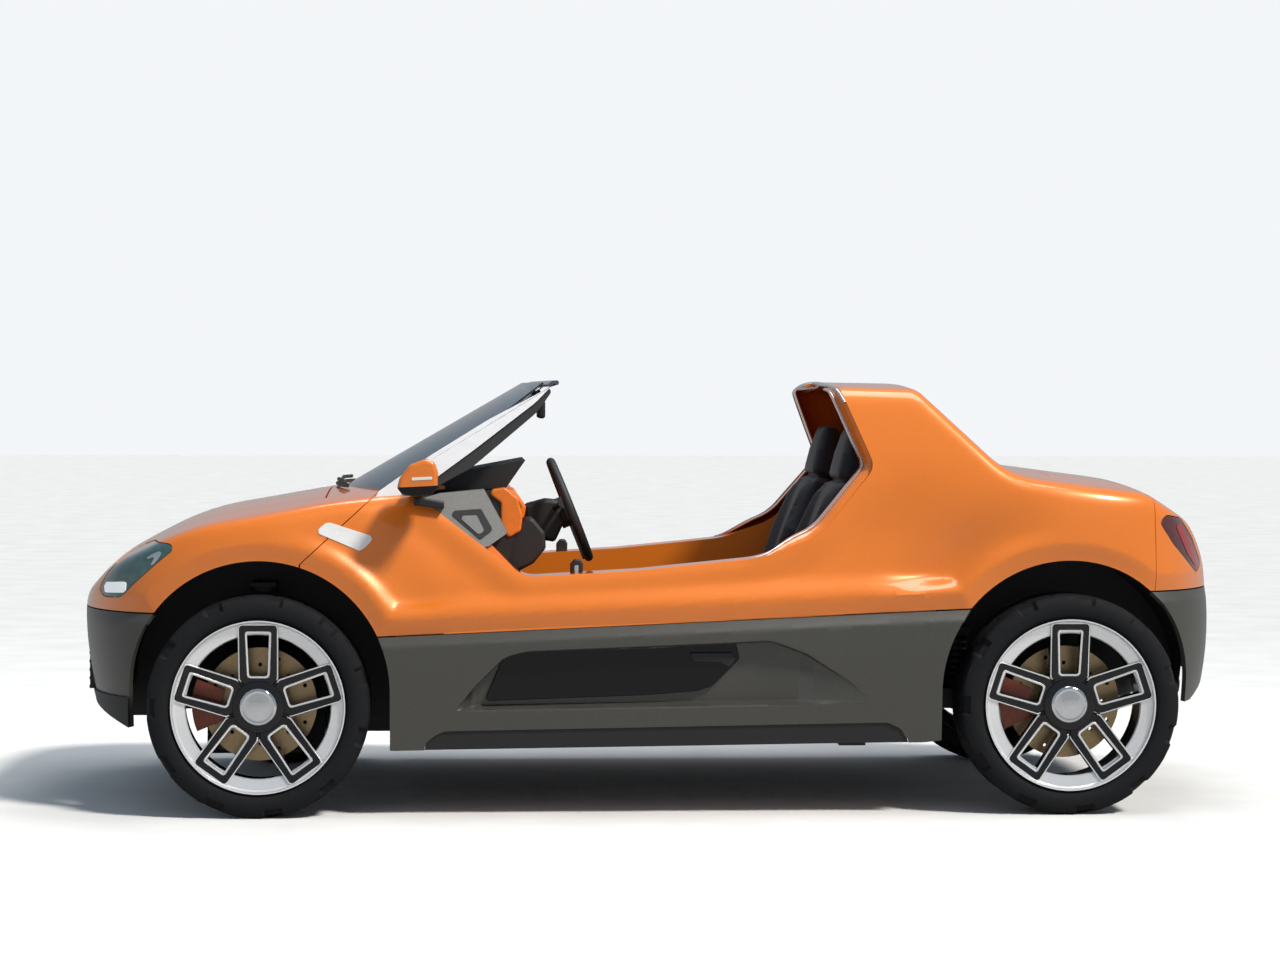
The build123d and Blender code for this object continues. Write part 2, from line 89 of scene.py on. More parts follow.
def ramp(tree, *stops):
    """A colour ramp through stops of position and colour."""
    made = node(tree, "ValToRGB")
    elements = made.color_ramp.elements
    for k, (position, colour) in enumerate((stops[0], stops[-1])):
        elements[k].position = position
        elements[k].color = (*colour, 1)
    for position, colour in stops[1:-1]:
        elements.new(position).color = (*colour, 1)
    return made


def camera_sees(tree, shown, other, output):
    """Camera rays meet the first shader, and all other rays the second."""
    path = node(tree, "LightPath")
    mix = node(tree, "MixShader")
    tree.links.new(path.outputs["Is Camera Ray"], mix.inputs[0])
    tree.links.new(other.outputs[0], mix.inputs[1])
    tree.links.new(shown.outputs[0], mix.inputs[2])
    tree.links.new(mix.outputs[0], output.inputs[0])


# Studio: a sky that pales towards the horizon, seen as a plain backdrop, a soft sun and one broad lamp above
scene.world = bpy.data.worlds.new("studio")
tree = fresh_tree(scene.world)
sky = node(tree, "Background", Strength=0.46)
backdrop = node(tree, "Background", Color=(0.90, 0.92, 0.94, 1), Strength=1.0)
way = node(tree, "TexCoord")
split = node(tree, "SeparateXYZ")
tones = ramp(tree, (0.0, (0.86, 0.86, 0.87)), (0.12, (0.80, 0.86, 0.92)), (0.55, (0.50, 0.62, 0.76)))
tree.links.new(way.outputs["Generated"], split.inputs[0])
tree.links.new(split.outputs["Z"], tones.inputs[0])
tree.links.new(tones.outputs[0], sky.inputs["Color"])
camera_sees(tree, backdrop, sky, node(tree, "OutputWorld"))


def light(name, kind, energy, shines, place=(0, 0, 0)):
    """A lamp that shines along a direction; gives its data."""
    lamp = bpy.data.objects.new(name, bpy.data.lights.new(name, kind))
    scene.collection.objects.link(lamp)
    lamp.data.energy = energy
    lamp.location = place
    lamp.rotation_euler = Vector(shines).to_track_quat("-Z", "Y").to_euler()
    return lamp.data


sun = light("sun", "SUN", 3.1, (-0.55, 0.50, -0.85))
sun.angle = radians(9)
sun.color = (1.0, 0.96, 0.90)
overhead = light("top", "AREA", 110, (-0.4, -0.3, -4.1), (0.4, 0.3, 4.6))
overhead.shape = "RECTANGLE"
overhead.size, overhead.size_y = 5.0, 1.6

# Materials
MATS = {}


def material(name, colour, rough, tone, metal=0.0, coat=(0.0, 0.1), spec=0.5, bump=None, drift=0.08,
             sheen=0.0, transmission=0.0, glow=None):
    """A procedural surface, given by its node tree.

    tone is the colour's spread and the grain of the noise that breaks it, drift the spread of the roughness,
    coat a weight and a roughness, bump a strength and a grain, glow a colour and a strength.
    """
    MATS[name] = bpy.data.materials.new(name)
    tree = fresh_tree(MATS[name])
    link = tree.links.new
    spread, grain = tone
    surface = node(tree, "BsdfPrincipled", Metallic=metal, Coat_Weight=coat[0], Coat_Roughness=coat[1],
                   Specular_IOR_Level=spec, Sheen_Weight=sheen, Transmission_Weight=transmission)
    place = node(tree, "TexCoord")
    noise = node(tree, "TexNoise", Scale=grain, Detail=6.0)
    tones = ramp(tree, (0.3, [c * (1 - spread) for c in colour]),
                 (0.7, [min(1.0, c * (1 + spread)) for c in colour]))
    polish = node(tree, "MapRange", To_Min=max(0.02, rough - drift), To_Max=min(1.0, rough + drift))
    link(surface.outputs[0], node(tree, "OutputMaterial").inputs[0])
    link(place.outputs["Object"], noise.inputs["Vector"])
    link(noise.outputs["Fac"], tones.inputs[0])
    link(tones.outputs[0], surface.inputs["Base Color"])
    link(noise.outputs["Fac"], polish.inputs["Value"])
    link(polish.outputs[0], surface.inputs["Roughness"])
    if glow:
        surface.inputs["Emission Color"].default_value = (*glow[0], 1)
        surface.inputs["Emission Strength"].default_value = glow[1]
    if bump:
        fine = node(tree, "TexNoise", Scale=bump[1], Detail=3.0)
        relief = node(tree, "Bump", Strength=bump[0], Distance=MM)
        link(place.outputs["Object"], fine.inputs["Vector"])
        link(fine.outputs["Fac"], relief.inputs["Height"])
        link(relief.outputs[0], surface.inputs["Normal"])
    return tree


material("orange", (0.84, 0.205, 0.012), 0.32, (0.05, 350), metal=0.12, coat=(1.0, 0.04), bump=(0.02, 900))
material("orange_inner", (0.78, 0.18, 0.012), 0.45, (0.06, 60), coat=(0.3, 0.2), spec=0.4, bump=(0.05, 400))
material("cladding", (0.072, 0.07, 0.062), 0.42, (0.08, 220), metal=0.25, coat=(0.25, 0.25), bump=(0.06, 900))
material("gloss_black", (0.003, 0.003, 0.004), 0.12, (0.2, 60), coat=(0.25, 0.05), spec=0.25, drift=0.04)
material("black_plastic", (0.016, 0.016, 0.017), 0.55, (0.15, 160), spec=0.45, bump=(0.25, 700))
material("frame_steel", (0.02, 0.02, 0.021), 0.5, (0.2, 60), metal=0.3, bump=(0.1, 300))
material("silver", (0.62, 0.63, 0.64), 0.28, (0.04, 300), metal=0.85, coat=(0.6, 0.08), bump=(0.02, 900))
material("alloy", (0.92, 0.92, 0.93), 0.2, (0.04, 250), metal=0.6, bump=(0.03, 600), drift=0.06)
material("alloy_black", (0.006, 0.006, 0.007), 0.25, (0.2, 120), coat=(0.35, 0.06), spec=0.3,
         bump=(0.03, 500))
material("rubber", (0.008, 0.0085, 0.0100), 0.78, (0.25, 90), spec=0.25, bump=(0.3, 500))
material("disc", (0.42, 0.30, 0.17), 0.33, (0.1, 80), metal=0.9, bump=(0.1, 400))
material("caliper", (0.23, 0.05, 0.022), 0.35, (0.15, 90), metal=0.5, coat=(0.4, 0.1), bump=(0.05, 300))
material("glass", (0.30, 0.40, 0.50), 0.03, (0.03, 20), coat=(0.0, 0.03), drift=0.01, transmission=0.95)
material("head_lens", (0.05, 0.12, 0.12), 0.06, (0.3, 30), metal=0.2, coat=(1.0, 0.02), spec=0.6, drift=0.03)
material("tail_lens", (0.075, 0.004, 0.006), 0.08, (0.4, 30), metal=0.1, coat=(1.0, 0.02), spec=0.6,
         drift=0.03)
material("lamp_white", (0.85, 0.88, 0.88), 0.2, (0.05, 120), coat=(0.5, 0.05), drift=0.05,
         glow=((0.9, 0.97, 1.0), 0.35))
material("lamp_red", (0.26, 0.008, 0.010), 0.15, (0.2, 90), coat=(0.8, 0.05), glow=((0.9, 0.03, 0.02), 0.03))
material("seat", (0.012, 0.013, 0.018), 0.6, (0.25, 140), spec=0.4, bump=(0.35, 420), drift=0.1, sheen=0.12)
material("pillar_white", (0.84, 0.85, 0.87), 0.3, (0.03, 40), coat=(0.8, 0.06))
material("grey_panel", (0.20, 0.20, 0.19), 0.45, (0.08, 120), metal=0.1, bump=(0.15, 700))
material("cast", (0.26, 0.26, 0.27), 0.5, (0.15, 70), metal=0.8, bump=(0.3, 300))
material("white_plate", (0.80, 0.80, 0.79), 0.35, (0.04, 80), coat=(0.4, 0.1), bump=(0.05, 500))
material("visor", (0.10, 0.12, 0.16), 0.2, (0.08, 90), metal=0.6, coat=(0.8, 0.05), bump=(0.02, 500))
material("chrome", (0.75, 0.76, 0.77), 0.08, (0.03, 90), metal=1.0, drift=0.04)

# The floor is paler for the camera than for the light that it throws back at the car.
FLOOR_PALER = 2.08
tree = material("floor", (0.42, 0.417, 0.41), 0.75, (0.05, 3), spec=0.3, bump=(0.3, 60))
made = {n.type: n for n in tree.nodes}
paler = node(tree, "VectorMath")
paler.operation = "SCALE"
paler.inputs["Scale"].default_value = FLOOR_PALER
pale = node(tree, "BsdfDiffuse")
tree.links.new(made["VALTORGB"].outputs[0], paler.inputs[0])
tree.links.new(paler.outputs[0], pale.inputs["Color"])
camera_sees(tree, pale, made["BSDF_PRINCIPLED"], made["OUTPUT_MATERIAL"])


# Mesh helpers; lengths are in millimetres
def obj(name, verts, faces, mats, index=None, sharp=38):
    """A smooth mesh object with edges sharp past an angle; index picks one of mats for each face."""
    me = bpy.data.meshes.new(name)
    points = np.asarray(verts, float) * MM
    me.from_pydata([tuple(map(float, v)) for v in points], [], [tuple(int(i) for i in f) for f in faces])
    me.polygons.foreach_set("use_smooth", [True] * len(me.polygons))
    me.set_sharp_from_angle(angle=radians(sharp))
    o = bpy.data.objects.new(name, me)
    scene.collection.objects.link(o)
    for m in (mats if isinstance(mats, (list, tuple)) else [mats]):
        me.materials.append(MATS[m])
    if index is not None:
        me.polygons.foreach_set("material_index", [int(i) for i in index])
    return o


def put(o, body="chassis", replaces=()):
    """Ties an object to a body, and where given hides the nodes that it stands for."""
    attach(o, body)
    if replaces:
        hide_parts(*replaces)
    return o


def bevel(o, width, segments=2, angle=50):
    b = o.modifiers.new("bevel", "BEVEL")
    b.width = width * MM
    b.segments = segments
    b.limit_method = "ANGLE"
    b.angle_limit = radians(angle)
    return o


def outward(o):
    """Turns all faces of a closed mesh outwards."""
    bm = bmesh.new()
    bm.from_mesh(o.data)
    bmesh.ops.recalc_face_normals(bm, faces=bm.faces)
    bm.to_mesh(o.data)
    bm.free()
    return o


def shifted(faces, base):
    return [tuple(i + base for i in f) for f in faces]


def with_mirror(verts, faces):
    """A mesh and its mirror image on the car's other side."""
    v = np.asarray(verts, float)
    return np.vstack([v, v * FLIP]), list(faces) + shifted([f[::-1] for f in faces], len(v))


def merged(pieces):
    """One mesh from pieces of points, faces and a material index for the piece or for each face."""
    verts, faces, tint = [], [], []
    base = 0
    for v, f, m in pieces:
        verts.append(np.asarray(v, float))
        faces += shifted(f, base)
        tint += [m] * len(f) if isinstance(m, int) else list(m)
        base += len(v)
    return np.vstack(verts), faces, tint


def grid_faces(rows, cols, wrap=False):
    """Quads of a grid of points stored row by row; wrap closes each row into a ring."""
    faces = []
    for r in range(rows - 1):
        a, b = r * cols, (r + 1) * cols
        for c in range(cols if wrap else cols - 1):
            d = (c + 1) % cols
            faces.append((a + c, a + d, b + d, b + c))
    return faces


def grid_tris(rows, cols):
    return np.array([t for a, b, c, d in grid_faces(rows, cols) for t in ((a, b, c), (a, c, d))])


def end_caps(count, ring):
    """The first and the last ring of a row of rings, as faces."""
    return [tuple(range(ring)), tuple(range(count - 1, count - 1 - ring, -1))]


def prism(outline, y0, y1):
    """A side-view outline (x, z) pushed from y0 to y1, each one number or one a point."""
    p = np.asarray(outline, float)
    n = len(p)
    rings = [np.column_stack([p[:, 0], np.broadcast_to(y, n), p[:, 1]]) for y in (y0, y1)]
    sides = [(i, i + n, (i + 1) % n + n, (i + 1) % n) for i in range(n)]
    return np.vstack(rings), end_caps(2 * n, n) + sides


def block(name, outline, y0, y1, mat, edge=3.0, segments=2, replaces=(), both=False):
    """A prism on the chassis with rounded edges, on one side of the car or on both."""
    v, f = prism(outline, y0, y1)
    if both:
        v, f = with_mirror(v, f)
    o = outward(obj(name, v, f, mat))
    if edge:
        bevel(o, edge, segments, 40)
    return put(o, "chassis", replaces)


def tube(name, path, radius, mat, sides=10):
    """A round bar along a path, on the chassis."""
    p = np.asarray(path, float)
    t = np.gradient(p, axis=0)
    t /= np.linalg.norm(t, axis=1)[:, None]
    across = np.array([0.0, 0.0, 1.0]) if abs(t[:, 2]).mean() < 0.8 else np.array([0.0, 1.0, 0.0])
    u = np.cross(t, across)
    u /= np.linalg.norm(u, axis=1)[:, None]
    w = np.cross(t, u)
    a = np.linspace(0, 2 * pi, sides, endpoint=False)[None, :, None]
    v = (p[:, None] + radius * (np.cos(a) * u[:, None] + np.sin(a) * w[:, None])).reshape(-1, 3)
    return put(outward(obj(name, v, grid_faces(len(p), sides, True) + end_caps(len(v), sides), mat)))


def lathe(section, steps, side):
    """Points and quads of a section (offset, radius) turned about the Y axis; side is the outer direction."""
    offset, radius = np.asarray(section, float).T[:, :, None]
    a = np.linspace(0, 2 * pi, steps, endpoint=False)
    v = np.stack([radius * np.cos(a), np.repeat(offset * side, steps, 1), radius * np.sin(a)], -1)
    return v.reshape(-1, 3), grid_faces(len(section), steps, True)


def rounded(points, radii, closed=True, steps=8):
    """A polyline with its corners rounded: points (n, 2), one radius for all or one a corner."""
    pts = np.asarray(points, float)
    n = len(pts)
    line = []
    for i in range(n):
        r = radii[i] if isinstance(radii, (list, tuple)) else radii
        if (not closed and i in (0, n - 1)) or r <= 0:
            line.append(pts[i])
            continue
        a, b, c = pts[i - 1], pts[i], pts[(i + 1) % n]
        u = (a - b) / np.linalg.norm(a - b)
        v = (c - b) / np.linalg.norm(c - b)
        angle = np.arccos(np.clip(u @ v, -1, 1))
        if pi - angle < 1e-3:
            line.append(b)
            continue
        trim = min(r / np.tan(angle / 2), 0.49 * np.linalg.norm(a - b), 0.49 * np.linalg.norm(c - b))
        r = trim * np.tan(angle / 2)
        m = (u + v) / np.linalg.norm(u + v)
        centre = b + m * (r / np.sin(angle / 2))
        p0, p1 = b + u * trim - centre, b + v * trim - centre
        t0, t1 = atan2(p0[1], p0[0]), atan2(p1[1], p1[0])
        d = (t1 - t0 + pi) % (2 * pi) - pi
        for k in range(steps + 1):
            t = t0 + d * k / steps
            line.append(centre + r * np.array([cos(t), sin(t)]))
    return np.array(line)


def arc_length(points):
    """Distance along a polyline at each of its points."""
    return np.concatenate([[0], np.cumsum(np.linalg.norm(np.diff(points, axis=0), axis=1))])


def resampled(line, run, at):
    """Points of a polyline at other distances along it."""
    return np.column_stack([np.interp(at, run, column) for column in np.transpose(line)])


def inside(poly, x, z):
    """Signed distance to a closed outline: positive inside."""
    p = np.asarray(poly, float)
    q = np.roll(p, -1, axis=0)
    pts = np.stack([np.ravel(x), np.ravel(z)], -1)
    best = np.full(len(pts), 1e9)
    odd = np.zeros(len(pts), bool)
    for a, b in zip(p, q):
        e = b - a
        w = pts - a
        t = np.clip((w @ e) / max(e @ e, 1e-12), 0, 1)
        best = np.minimum(best, np.linalg.norm(w - t[:, None] * e, axis=1))
        hit = ((a[1] <= pts[:, 1]) & (b[1] > pts[:, 1])) | ((b[1] <= pts[:, 1]) & (a[1] > pts[:, 1]))
        cross = e[0] * w[:, 1] - w[:, 0] * e[1]
        odd ^= hit & ((cross > 0) == (b[1] > a[1]))
    return np.where(odd, best, -best).reshape(np.shape(x))


def edge_lists(tris):
    """Each edge once, and whether it lies on the rim."""
    e = np.sort(np.vstack([tris[:, [0, 1]], tris[:, [1, 2]], tris[:, [2, 0]]]), 1)
    e, count = np.unique(e, axis=0, return_counts=True)
    return e, count == 1


def cut(verts, tris, value, both=False, near=0.22):
    """Cuts a triangle mesh along value = 0 and keeps value > 0, or both sides.

    Points close to the line are first drawn onto it, along the rim if they lie on the rim.
    """
    verts, value = verts.copy(), np.array(value, float)
    e, rim = edge_lists(tris)
    on_rim = np.zeros(len(verts), bool)
    on_rim[e[rim].ravel()] = True
    a, b = value[e[:, 0]], value[e[:, 1]]
    cross = a * b < 0
    t = np.where(cross, a / np.where(cross, a - b, 1.0), 0.5)
    best = {}
    for k in np.nonzero(cross & ((t < near) | (t > 1 - near)))[0]:
        i, j, share = (e[k, 0], e[k, 1], t[k]) if t[k] < 0.5 else (e[k, 1], e[k, 0], 1 - t[k])
        if (rim[k] or not on_rim[i]) and share < best.get(i, (1.0,))[0]:
            best[i] = (share, verts[i] + share * (verts[j] - verts[i]))
    for i, (share, point) in best.items():
        verts[i] = point
        value[i] = 0.0
    low, high = value[tris].min(1), value[tris].max(1)
    whole = tris[(low >= 0) & (high > 0) | (both & ((high <= 0) | (low >= 0)))]
    points, seen, made = [], {}, []
    base = len(verts)
    for tri in tris[(low < 0) & (high > 0)]:
        for sign in ((1, -1) if both else (1,)):
            ring = []
            for i, j in zip(tri, np.roll(tri, -1)):
                if sign * value[i] >= 0:
                    ring.append(i)
                if value[i] * value[j] < 0:
                    key = (min(i, j), max(i, j))
                    if key not in seen:
                        p, q = key
                        seen[key] = base + len(points)
                        points.append(verts[p] + value[p] / (value[p] - value[q]) * (verts[q] - verts[p]))
                    ring.append(seen[key])
            made += [(ring[0], ring[k], ring[k + 1]) for k in range(1, len(ring) - 1)]
    verts = np.vstack([verts, np.array(points).reshape(-1, 3)])
    tris = np.vstack([whole, np.array(made, int).reshape(-1, 3)])
    used, index = np.unique(tris, return_inverse=True)
    return verts[used], index.reshape(-1, 3)


def joined(v, t, near=0.05):
    """Joins doubled points."""
    key = np.round(v / near).astype(int)
    _, first, index = np.unique(key, axis=0, return_index=True, return_inverse=True)
    t = index.reshape(-1)[t]
    t = t[(t[:, 0] != t[:, 1]) & (t[:, 1] != t[:, 2]) & (t[:, 2] != t[:, 0])]
    return v[first], t


def normals(v, t):
    """Unit normals at the points, weighted by the triangles' areas."""
    n = np.cross(v[t[:, 1]] - v[t[:, 0]], v[t[:, 2]] - v[t[:, 0]])
    out = np.zeros_like(v)
    for k in range(3):
        np.add.at(out, t[:, k], n)
    return out / np.maximum(np.linalg.norm(out, axis=1), 1e-9)[:, None]


def shell(v, t, depth, lift=0.0):
    """A wall of the given depth behind a surface, closed round its rim."""
    n = normals(v, t)
    m = len(v)
    edges = {}
    for a, b, c in t:
        edges.update({(a, b): 1, (b, c): 1, (c, a): 1})
    rim = [(i, j) for i, j in edges if (j, i) not in edges]
    faces = [tuple(f) for f in t] + [tuple(f[::-1] + m) for f in t]
    faces += [(j, i, i + m, j + m) for i, j in rim]
    return np.vstack([v + n * lift, v - n * (depth - lift)]), faces


def mirrored(verts, tris):
    """The mirror image on the car's other side."""
    return verts * FLIP, tris[:, ::-1]


# Body form: a wall through plan outlines, cut by a crowned crest
WHEELBASE, FRONT_OVERHANG, REAR_OVERHANG = 2420.0, 562.0, 518.0
NOSE_X = -(WHEELBASE + FRONT_OVERHANG + REAR_OVERHANG) / 2
TAIL_X = -NOSE_X
AXLE_F, AXLE_R = NOSE_X + FRONT_OVERHANG, TAIL_X - REAR_OVERHANG
MID_X = (AXLE_F + AXLE_R) / 2
ARCH_R, ARCH_Z = 388.0, 374.0
BELT_NOSE, BELT_TAIL = 605.0, 666.0
BELT_FROM, BELT_TO = (-804.0, 539.0), (882.0, 616.0)
STATIONS = (AXLE_F - 350, AXLE_F, AXLE_F + 540, MID_X, AXLE_R - 560, AXLE_R, AXLE_R + 300)
# Each level: height, nose setback, half widths at the seven stations, tail setback
LEVELS = (
    (150, 75, (690, 788, 798, 798, 798, 785, 680), 75),
    (400, 18, (742, 822, 828, 828, 828, 818, 732), 12),
    (600, 0, (758, 834, 834, 834, 834, 832, 752), 0),
    (780, 20, (735, 822, 784, 770, 792, 822, 735), 20),
    (980, 60, (690, 770, 712, 700, 735, 782, 705), 50),
    (1350, 140, (590, 620, 585, 575, 590, 630, 590), 120),
)
# Each crest point: x, height on the centreline, corner radius
CREST = ((NOSE_X - 260, 300, 0), (NOSE_X - 30, 612, 40), (NOSE_X + 120, 770, 300), (NOSE_X + 350, 892, 700),
         (NOSE_X + 766, 965, 1500), (-640, 1000, 200), (545, 1298, 60), (795, 1294, 60), (1060, 1045, 260),
         (1480, 990, 150), (1640, 890, 150), (TAIL_X + 200, 420, 0))
CROWN = 8000.0
WALL_LOW, WALL_TOP, FINE = 180.0, 1345.0, 5.0
SHOULDER_LOW = 560.0
SHOULDER_SOFT, COLUMN_PITCH = 30.0, 13.0
WALL_ROWS, TOP_ROWS = 80, 48
# The level and the points of its outline that others follow
WIDEST, AXLE_POINTS = 2, (3, 7)
ROOF_END = 240.0


def spline(knots, values, start=None, end=None):
    """Cubic through values at the knots, with end slopes where they are given. Returns a function."""
    k = np.asarray(knots, float)
    v = np.asarray(values, float)
    n = len(k)
    h = np.diff(k)
    a = np.zeros((n, n))
    rhs = np.zeros_like(v)
    slope = np.diff(v, axis=0) / h.reshape((-1,) + (1,) * (v.ndim - 1))
    for i in range(1, n - 1):
        a[i, i - 1], a[i, i], a[i, i + 1] = h[i - 1], 2 * (h[i - 1] + h[i]), h[i]
        rhs[i] = 6 * (slope[i] - slope[i - 1])
    a[0, 0] = a[-1, -1] = 1.0
    if start is not None:
        a[0, 0], a[0, 1] = 2 * h[0], h[0]
        rhs[0] = 6 * (slope[0] - np.asarray(start))
    if end is not None:
        a[-1, -1], a[-1, -2] = 2 * h[-1], h[-1]
        rhs[-1] = 6 * (np.asarray(end) - slope[-1])
    m = np.linalg.solve(a, rhs.reshape(n, -1)).reshape(v.shape)

    def at(t):
        t = np.asarray(t, float)
        i = np.clip(np.searchsorted(k, t) - 1, 0, n - 2)
        shape = t.shape + (1,) * (v.ndim - 1)
        hi = h[i].reshape(shape)
        p = (k[i + 1] - t).reshape(shape)
        q = (t - k[i]).reshape(shape)
        return (m[i] * p ** 3 + m[i + 1] * q ** 3) / (6 * hi) + (v[i] / hi - m[i] * hi / 6) * p \
            + (v[i + 1] / hi - m[i + 1] * hi / 6) * q
    return at


crest_line = rounded([(x, z) for x, z, r in CREST], [r for x, z, r in CREST], closed=False, steps=16)


def roof(x, y):
    """Height of the crowned crest."""
    c = np.interp(x, crest_line[:, 0], crest_line[:, 1])
    return np.sqrt((CROWN + c) ** 2 - y ** 2) - CROWN


def wall_columns():
    """Shares along the plan outlines, one a column, and the columns' points at every level."""
    outlines = []
    for z, nose, widths, tail in LEVELS:
        a, b = NOSE_X + nose, TAIL_X - tail
        points = [(a, 0), (a + 20, 420), *zip(STATIONS, widths), (b - 20, 440), (b - 4, 200), (b, 0)]
        outlines.append(np.array(points, float))
    share = []
    for k, length in enumerate(np.diff(arc_length(outlines[WIDEST]))):
        n = max(2, int(np.ceil(length / COLUMN_PITCH)))
        share += [k + j / n for j in range(n)]
    share = np.array(share + [len(outlines[WIDEST]) - 1])
    levels = []
    for points in outlines:
        t = arc_length(points)
        levels.append(spline(t, points, (0, 1), (0, -1))(np.interp(share, np.arange(len(points)), t)))
    return share, np.array(levels)


def softened(line, kernel):
    """A column under a smoothing kernel, carried on straight at its foot and mirrored at the car's middle."""
    reach = len(kernel) // 2
    foot = line[0] + np.arange(-reach, 0)[:, None] * (line[1] - line[0])
    back = line[-2:-2 - reach:-1] * FLIP
    if len(back) < reach:
        back = np.vstack([back, np.repeat(back[-1:], reach - len(back), 0)])
    run = np.vstack([foot, line, back])
    smooth = np.column_stack([np.convolve(run[:, i], kernel, "valid") for i in range(3)])
    smooth[-1, 1] = 0.0
    return smooth


def body_grid():
    """The right half of the form as columns round the plan, softened at the shoulder, and its plain wall."""
    share, levels = wall_columns()
    zs = np.arange(WALL_LOW, WALL_TOP, FINE)
    wall = spline([z for z, *_ in LEVELS], levels)(zs)
    spread = SHOULDER_SOFT / FINE
    reach = int(3 * spread)
    kernel = np.exp(-0.5 * (np.arange(-reach, reach + 1) / spread) ** 2)
    kernel /= kernel.sum()
    run = arc_length(levels[WIDEST])
    front, rear = (int(np.argmin(np.abs(share - k))) for k in AXLE_POINTS)
    columns = []
    for c in range(len(share)):
        xy = wall[:, c, :]
        over = zs - roof(xy[:, 0], xy[:, 1])
        j = int(np.argmax((over > 0) & (zs > SHOULDER_LOW)))
        t = over[j - 1] / (over[j - 1] - over[j])
        edge = xy[j - 1] + t * (xy[j] - xy[j - 1])
        low = np.vstack([np.column_stack([xy[:j], zs[:j]]), [*edge, zs[j - 1] + t * FINE]])
        middle_x = edge[0]
        if c < front:
            middle_x = np.interp(run[c], [0, run[front]], [NOSE_X + ROOF_END, AXLE_F])
        elif c > rear:
            middle_x = np.interp(run[c], [run[rear], run[-1]], [AXLE_R, TAIL_X - ROOF_END])
        n = max(4, int(hypot(edge[0] - middle_x, edge[1]) / FINE))
        flat = edge + np.linspace(0, 1, n + 1)[1:, None] * (np.array([middle_x, 0.0]) - edge)
        line = np.vstack([low, np.column_stack([flat, roof(flat[:, 0], flat[:, 1])])])
        arc = arc_length(line)
        even = np.linspace(0, arc[-1], int(arc[-1] / FINE) + 1)
        smooth = softened(resampled(line, arc, even), kernel)
        shoulder = arc[len(low) - 1]
        rows = np.concatenate([np.linspace(0, shoulder, WALL_ROWS),
                               np.linspace(shoulder, arc[-1], TOP_ROWS + 1)[1:]])
        columns.append(resampled(smooth, even, rows))
    return np.array(columns), wall


def belt(x):
    """Height of the line between paint and cladding."""
    side = BELT_FROM[1] + (x - BELT_FROM[0]) * (BELT_TO[1] - BELT_FROM[1]) / (BELT_TO[0] - BELT_FROM[0])
    return np.where(x < AXLE_F, BELT_NOSE, np.where(x > AXLE_R, BELT_TAIL, side))


def arch_gap(x, z):
    """Distance outside the wheel openings, negative inside them."""
    best = np.full(np.shape(x), 1e9)
    for ax in (AXLE_F, AXLE_R):
        dx, dz = x - ax, np.maximum(z - ARCH_Z, 0.0)
        best = np.minimum(best, np.hypot(dx, dz) - ARCH_R)
    return best


GRID, WALL = body_grid()
nc, nr, _ = GRID.shape
BODY_V = GRID.reshape(-1, 3)
idx = np.arange(nc * nr).reshape(nc, nr)
qa, qb, qc, qd = idx[:-1, :-1], idx[1:, :-1], idx[1:, 1:], idx[:-1, 1:]
BODY_T = np.vstack([np.stack([qa, qb, qc], -1).reshape(-1, 3), np.stack([qa, qc, qd], -1).reshape(-1, 3)])
if normals(BODY_V, BODY_T)[:, 1].sum() < 0:
    BODY_T = BODY_T[:, ::-1]


def side_y(x, z):
    """Half width of the body side at a side-view point."""
    x, z = np.broadcast_arrays(np.asarray(x, float), np.asarray(z, float))
    out = np.empty(x.shape)
    for k in np.ndindex(x.shape):
        row = WALL[int(round((z[k] - WALL_LOW) / FINE))]
        mid = slice(len(row) // 6, -len(row) // 6)
        out[k] = np.interp(x[k], row[mid, 0], row[mid, 1])
    return out


def ease(t):
    """A smooth step from 0 to 1."""
    t = np.clip(t, 0, 1)
    return t * t * (3 - 2 * t)


def band(value, rises, full, falls, gone):
    """A weight that rises smoothly from 0 to 1 and falls back to 0."""
    return ease((value - rises) / (full - rises)) * ease((gone - value) / (gone - falls))


# Paint and cladding. The painted panels turn in towards the wheel openings and the belt, below a crease, and
# the side draws in above that crease. The cladding turns in towards the belt from below.
LIP, LIP_IN, CHAMFER = 52.0, 22.0, 32.0
RIM_IN, RIM_WIDTH, RIM_END = 6.0, 40.0, 330.0
COCKPIT = rounded([(-716, 1500), (-716, 950), (-404, 712), (-58, 732), (300, 768), (480, 832), (655, 1040),
                   (548, 1302), (548, 1500)], [5, 10, 90, 400, 300, 200, 50, 20, 5])
# The ledge above the crease: how far in, its span along the car, heights over which it grows and fades
LEDGE_IN, LEDGE_X, LEDGE_GROWS, LEDGE_TOP, LEDGE_FADES = 20.0, (-900, -600, 710, 1030), 75.0, 820.0, 260.0
# Valleys beside the haunches: axle, way along the car, distance from the hub, depth
VALLEYS = ((AXLE_R, -1, 552.0, 40.0), (AXLE_F, 1, 540.0, 15.0))
VALLEY_WIDTH, VALLEY_TURN, WHEEL_Z = 85.0, (18, 32, 50, 90), 330.0


def crease_gap(v):
    """Distance from the wheel openings and the belt."""
    return np.minimum(arch_gap(v[:, 0], v[:, 2]), v[:, 2] - belt(v[:, 0]))


def flank(v):
    """Weight of the moves below: nothing on the nose and tail, all on the sides."""
    return np.clip((v[:, 1] - 300) / 300, 0, 1)


def rim_drop(x):
    """How far the cockpit's rim draws in ahead of the hoop."""
    return RIM_IN * ease((RIM_END - x) / 90)


